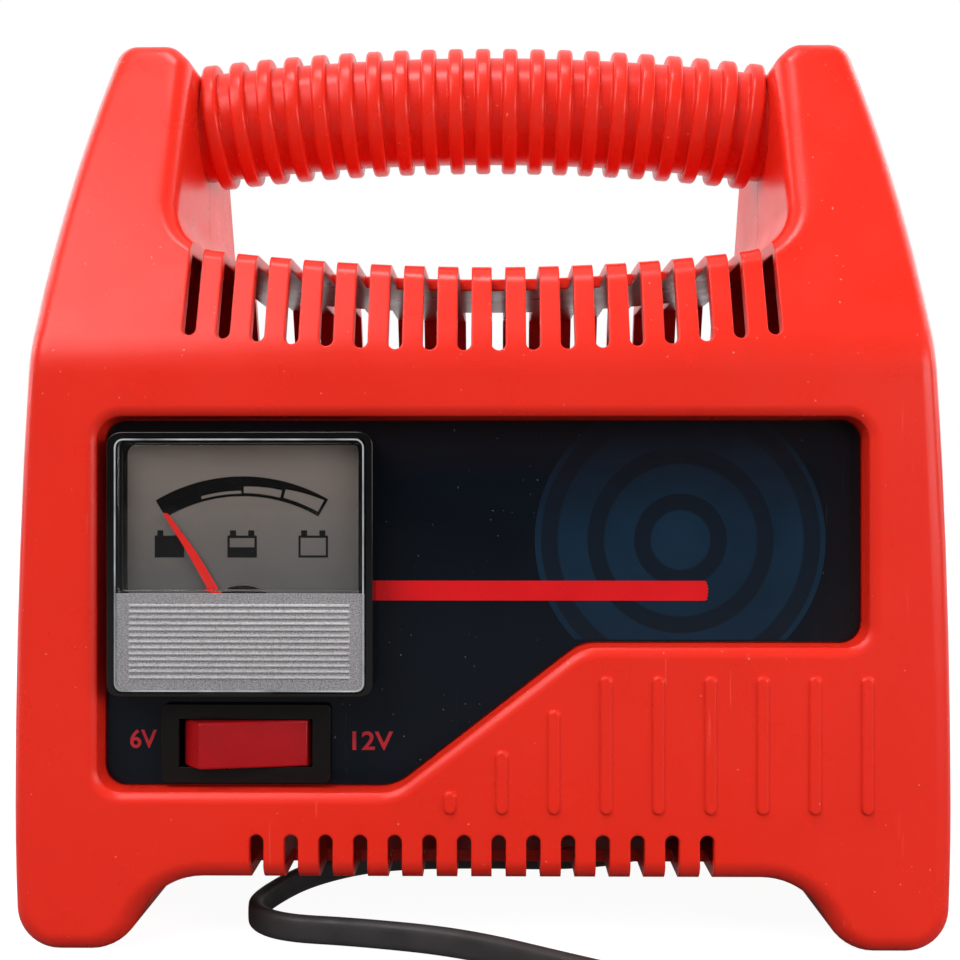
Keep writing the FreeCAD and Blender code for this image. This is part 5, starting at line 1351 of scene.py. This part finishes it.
    def dial(self) -> None:
        """The dial's card, with round corners and a half-round opening over the pivot."""
        (left, right), (low, high), corner = self.dial_x, self.dial_z, self.dial_corner
        outline = arc_points(self.opening_centre, self.opening_radius, 180, 0, 40)
        outline += [(self.opening_centre[0] + self.opening_radius, low), (right - corner, low)]
        outline += arc_points((right - corner, low + corner), corner, -90, 0, 6)
        outline += arc_points((right - corner, high - corner), corner, 0, 90, 8)
        outline += arc_points((left + corner, high - corner), corner, 90, 180, 8)
        outline += arc_points((left + corner, low + corner), corner, 180, 270, 6)
        outline += [(self.opening_centre[0] - self.opening_radius, low)]
        card = slab("dial_card", outline, self.dial_back, self.dial_face - self.dial_back, Paint.DIAL)
        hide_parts("meter_dial")

    def edge_highlight(self) -> None:
        """Painted highlight for light caught in the cover's moulded edge: a fine bright line all round its face."""
        left, right, low, high = self.rim
        corner = self.rim_corner
        mesh = bmesh.new()
        faces = []
        for inset in (0.0, self.rim_line):
            outline = []
            for x, z, start in ((right - corner, low + corner, -90), (right - corner, high - corner, 0),
                                (left + corner, high - corner, 90), (left + corner, low + corner, 180)):
                outline += arc_points((x, z), corner - inset, start, start + 90, 6)
            faces.append(front_face(mesh, outline, self.face + 0.01))
        edges = [edge for face in faces for edge in face.edges]
        bmesh.ops.delete(mesh, geom=faces, context="FACES_ONLY")
        thicken(mesh, bmesh.ops.bridge_loops(mesh, edges=edges)["faces"], 0.05)
        bmesh.ops.recalc_face_normals(mesh, faces=mesh.faces)
        # Painted highlight: a pale strip that stands for light caught in the edge.
        new_piece("cover_edge_highlight", mesh, Paint.EDGE)

    def needle(self) -> None:
        """The cranked needle: a tapered blade with a round hub at the pivot."""
        hub = arc_points(self.pivot, self.hub_radius, 75, -255, 30)
        blade = slab("needle_blade", [*self.blade[:5], *hub, *self.blade[5:]], self.needle_ahead,
                     self.needle_thickness, Paint.NEEDLE, Body.NEEDLE)
        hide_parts("meter_needle")

    def build(self) -> None:
        """Dress the meter from its case to its cover."""
        finer_copy("meter_case", "meter_bezel", Paint.BEZEL, 0.5, heights=self.case_heights)
        finer_copy("meter_cover", "meter_glass", Paint.CLEAR, 0.5, heights=self.cover_heights)
        finer_copy("meter_window", "meter_trim", Paint.TRIM, 0.06, 2, self.trim_heights)
        for index, heights in enumerate(self.tab_z):
            tab = plate(self.tab_x, heights, self.tab_back, self.tab_depth)
            new_piece(f"cover_tab_{index + 1}", tab, Paint.BEZEL)
        dress(Paint.BRASS, "moving_coil", "meter_terminals")
        dress(Paint.STEEL, "meter_movement", "meter_studs", "meter_nuts")
        self.dial()
        self.scale()
        self.icons()
        self.edge_highlight()
        self.needle()


@dataclass
class VoltageSwitch:
    """Rocker switch under the meter. Each row gives places in the CAD part and where they go, in millimetres."""

    frame_heights: Places = ((33.1, 31.9), (34.3, 33.6), (46.3, 45.5), (47.5, 47.0))
    frame_widths: Places = ((-60.9, -61.8), (-57.6, -58.4), (-32.2, -32.6), (-28.9, -29.15))
    rocker_heights: Places = ((36.0, 35.0), (44.6, 43.95))
    rocker_widths: Places = ((-56.93, -57.9), (-54.25, -54.05), (-45.0, -45.2), (-32.69, -32.8))

    def build(self) -> None:
        """Dress the flanged body, the rocker and the blades."""
        finer_copy("switch_body", "switch_frame", Paint.SWITCH, 0.35, heights=self.frame_heights,
                   widths=self.frame_widths)
        finer_copy("switch_rocker", "rocker_key", Paint.ROCKER, 0.25, heights=self.rocker_heights,
                   widths=self.rocker_widths, body=Body.ROCKER)
        dress(Paint.BRASS, "switch_terminals")


@dataclass
class Inside:
    """Transformer, rectifier and terminals, seen only through the vents."""

    paints: tuple[tuple[Paint, tuple[str, ...]], ...] = (
        (Paint.LAMINATION, ("transformer_core",)),
        (Paint.NYLON, ("transformer_bobbin", "terminal_block")),
        (Paint.TAPE, ("primary_winding", "secondary_winding")),
        (Paint.STEEL, ("transformer_bracket", "transformer_screws", "heat_sink_screw")),
        (Paint.ALUMINIUM, ("heat_sink",)),
        (Paint.EPOXY, ("rectifier_diodes", "thermal_cutout")))

    def build(self) -> None:
        """Give each inner piece its finish."""
        for paint, nodes in self.paints:
            dress(paint, *nodes)


def main() -> None:
    """Build the studio, the lead and then the charger from the outside in."""
    logging.basicConfig(level=logging.INFO, format="%(message)s")
    for assembly in (Studio(), MainsLead(), Case(), Panel(), Meter(), VoltageSwitch(), Inside()):
        assembly.build()
        LOG.info("built %s", type(assembly).__name__)


if __name__ == "__main__":
    main()
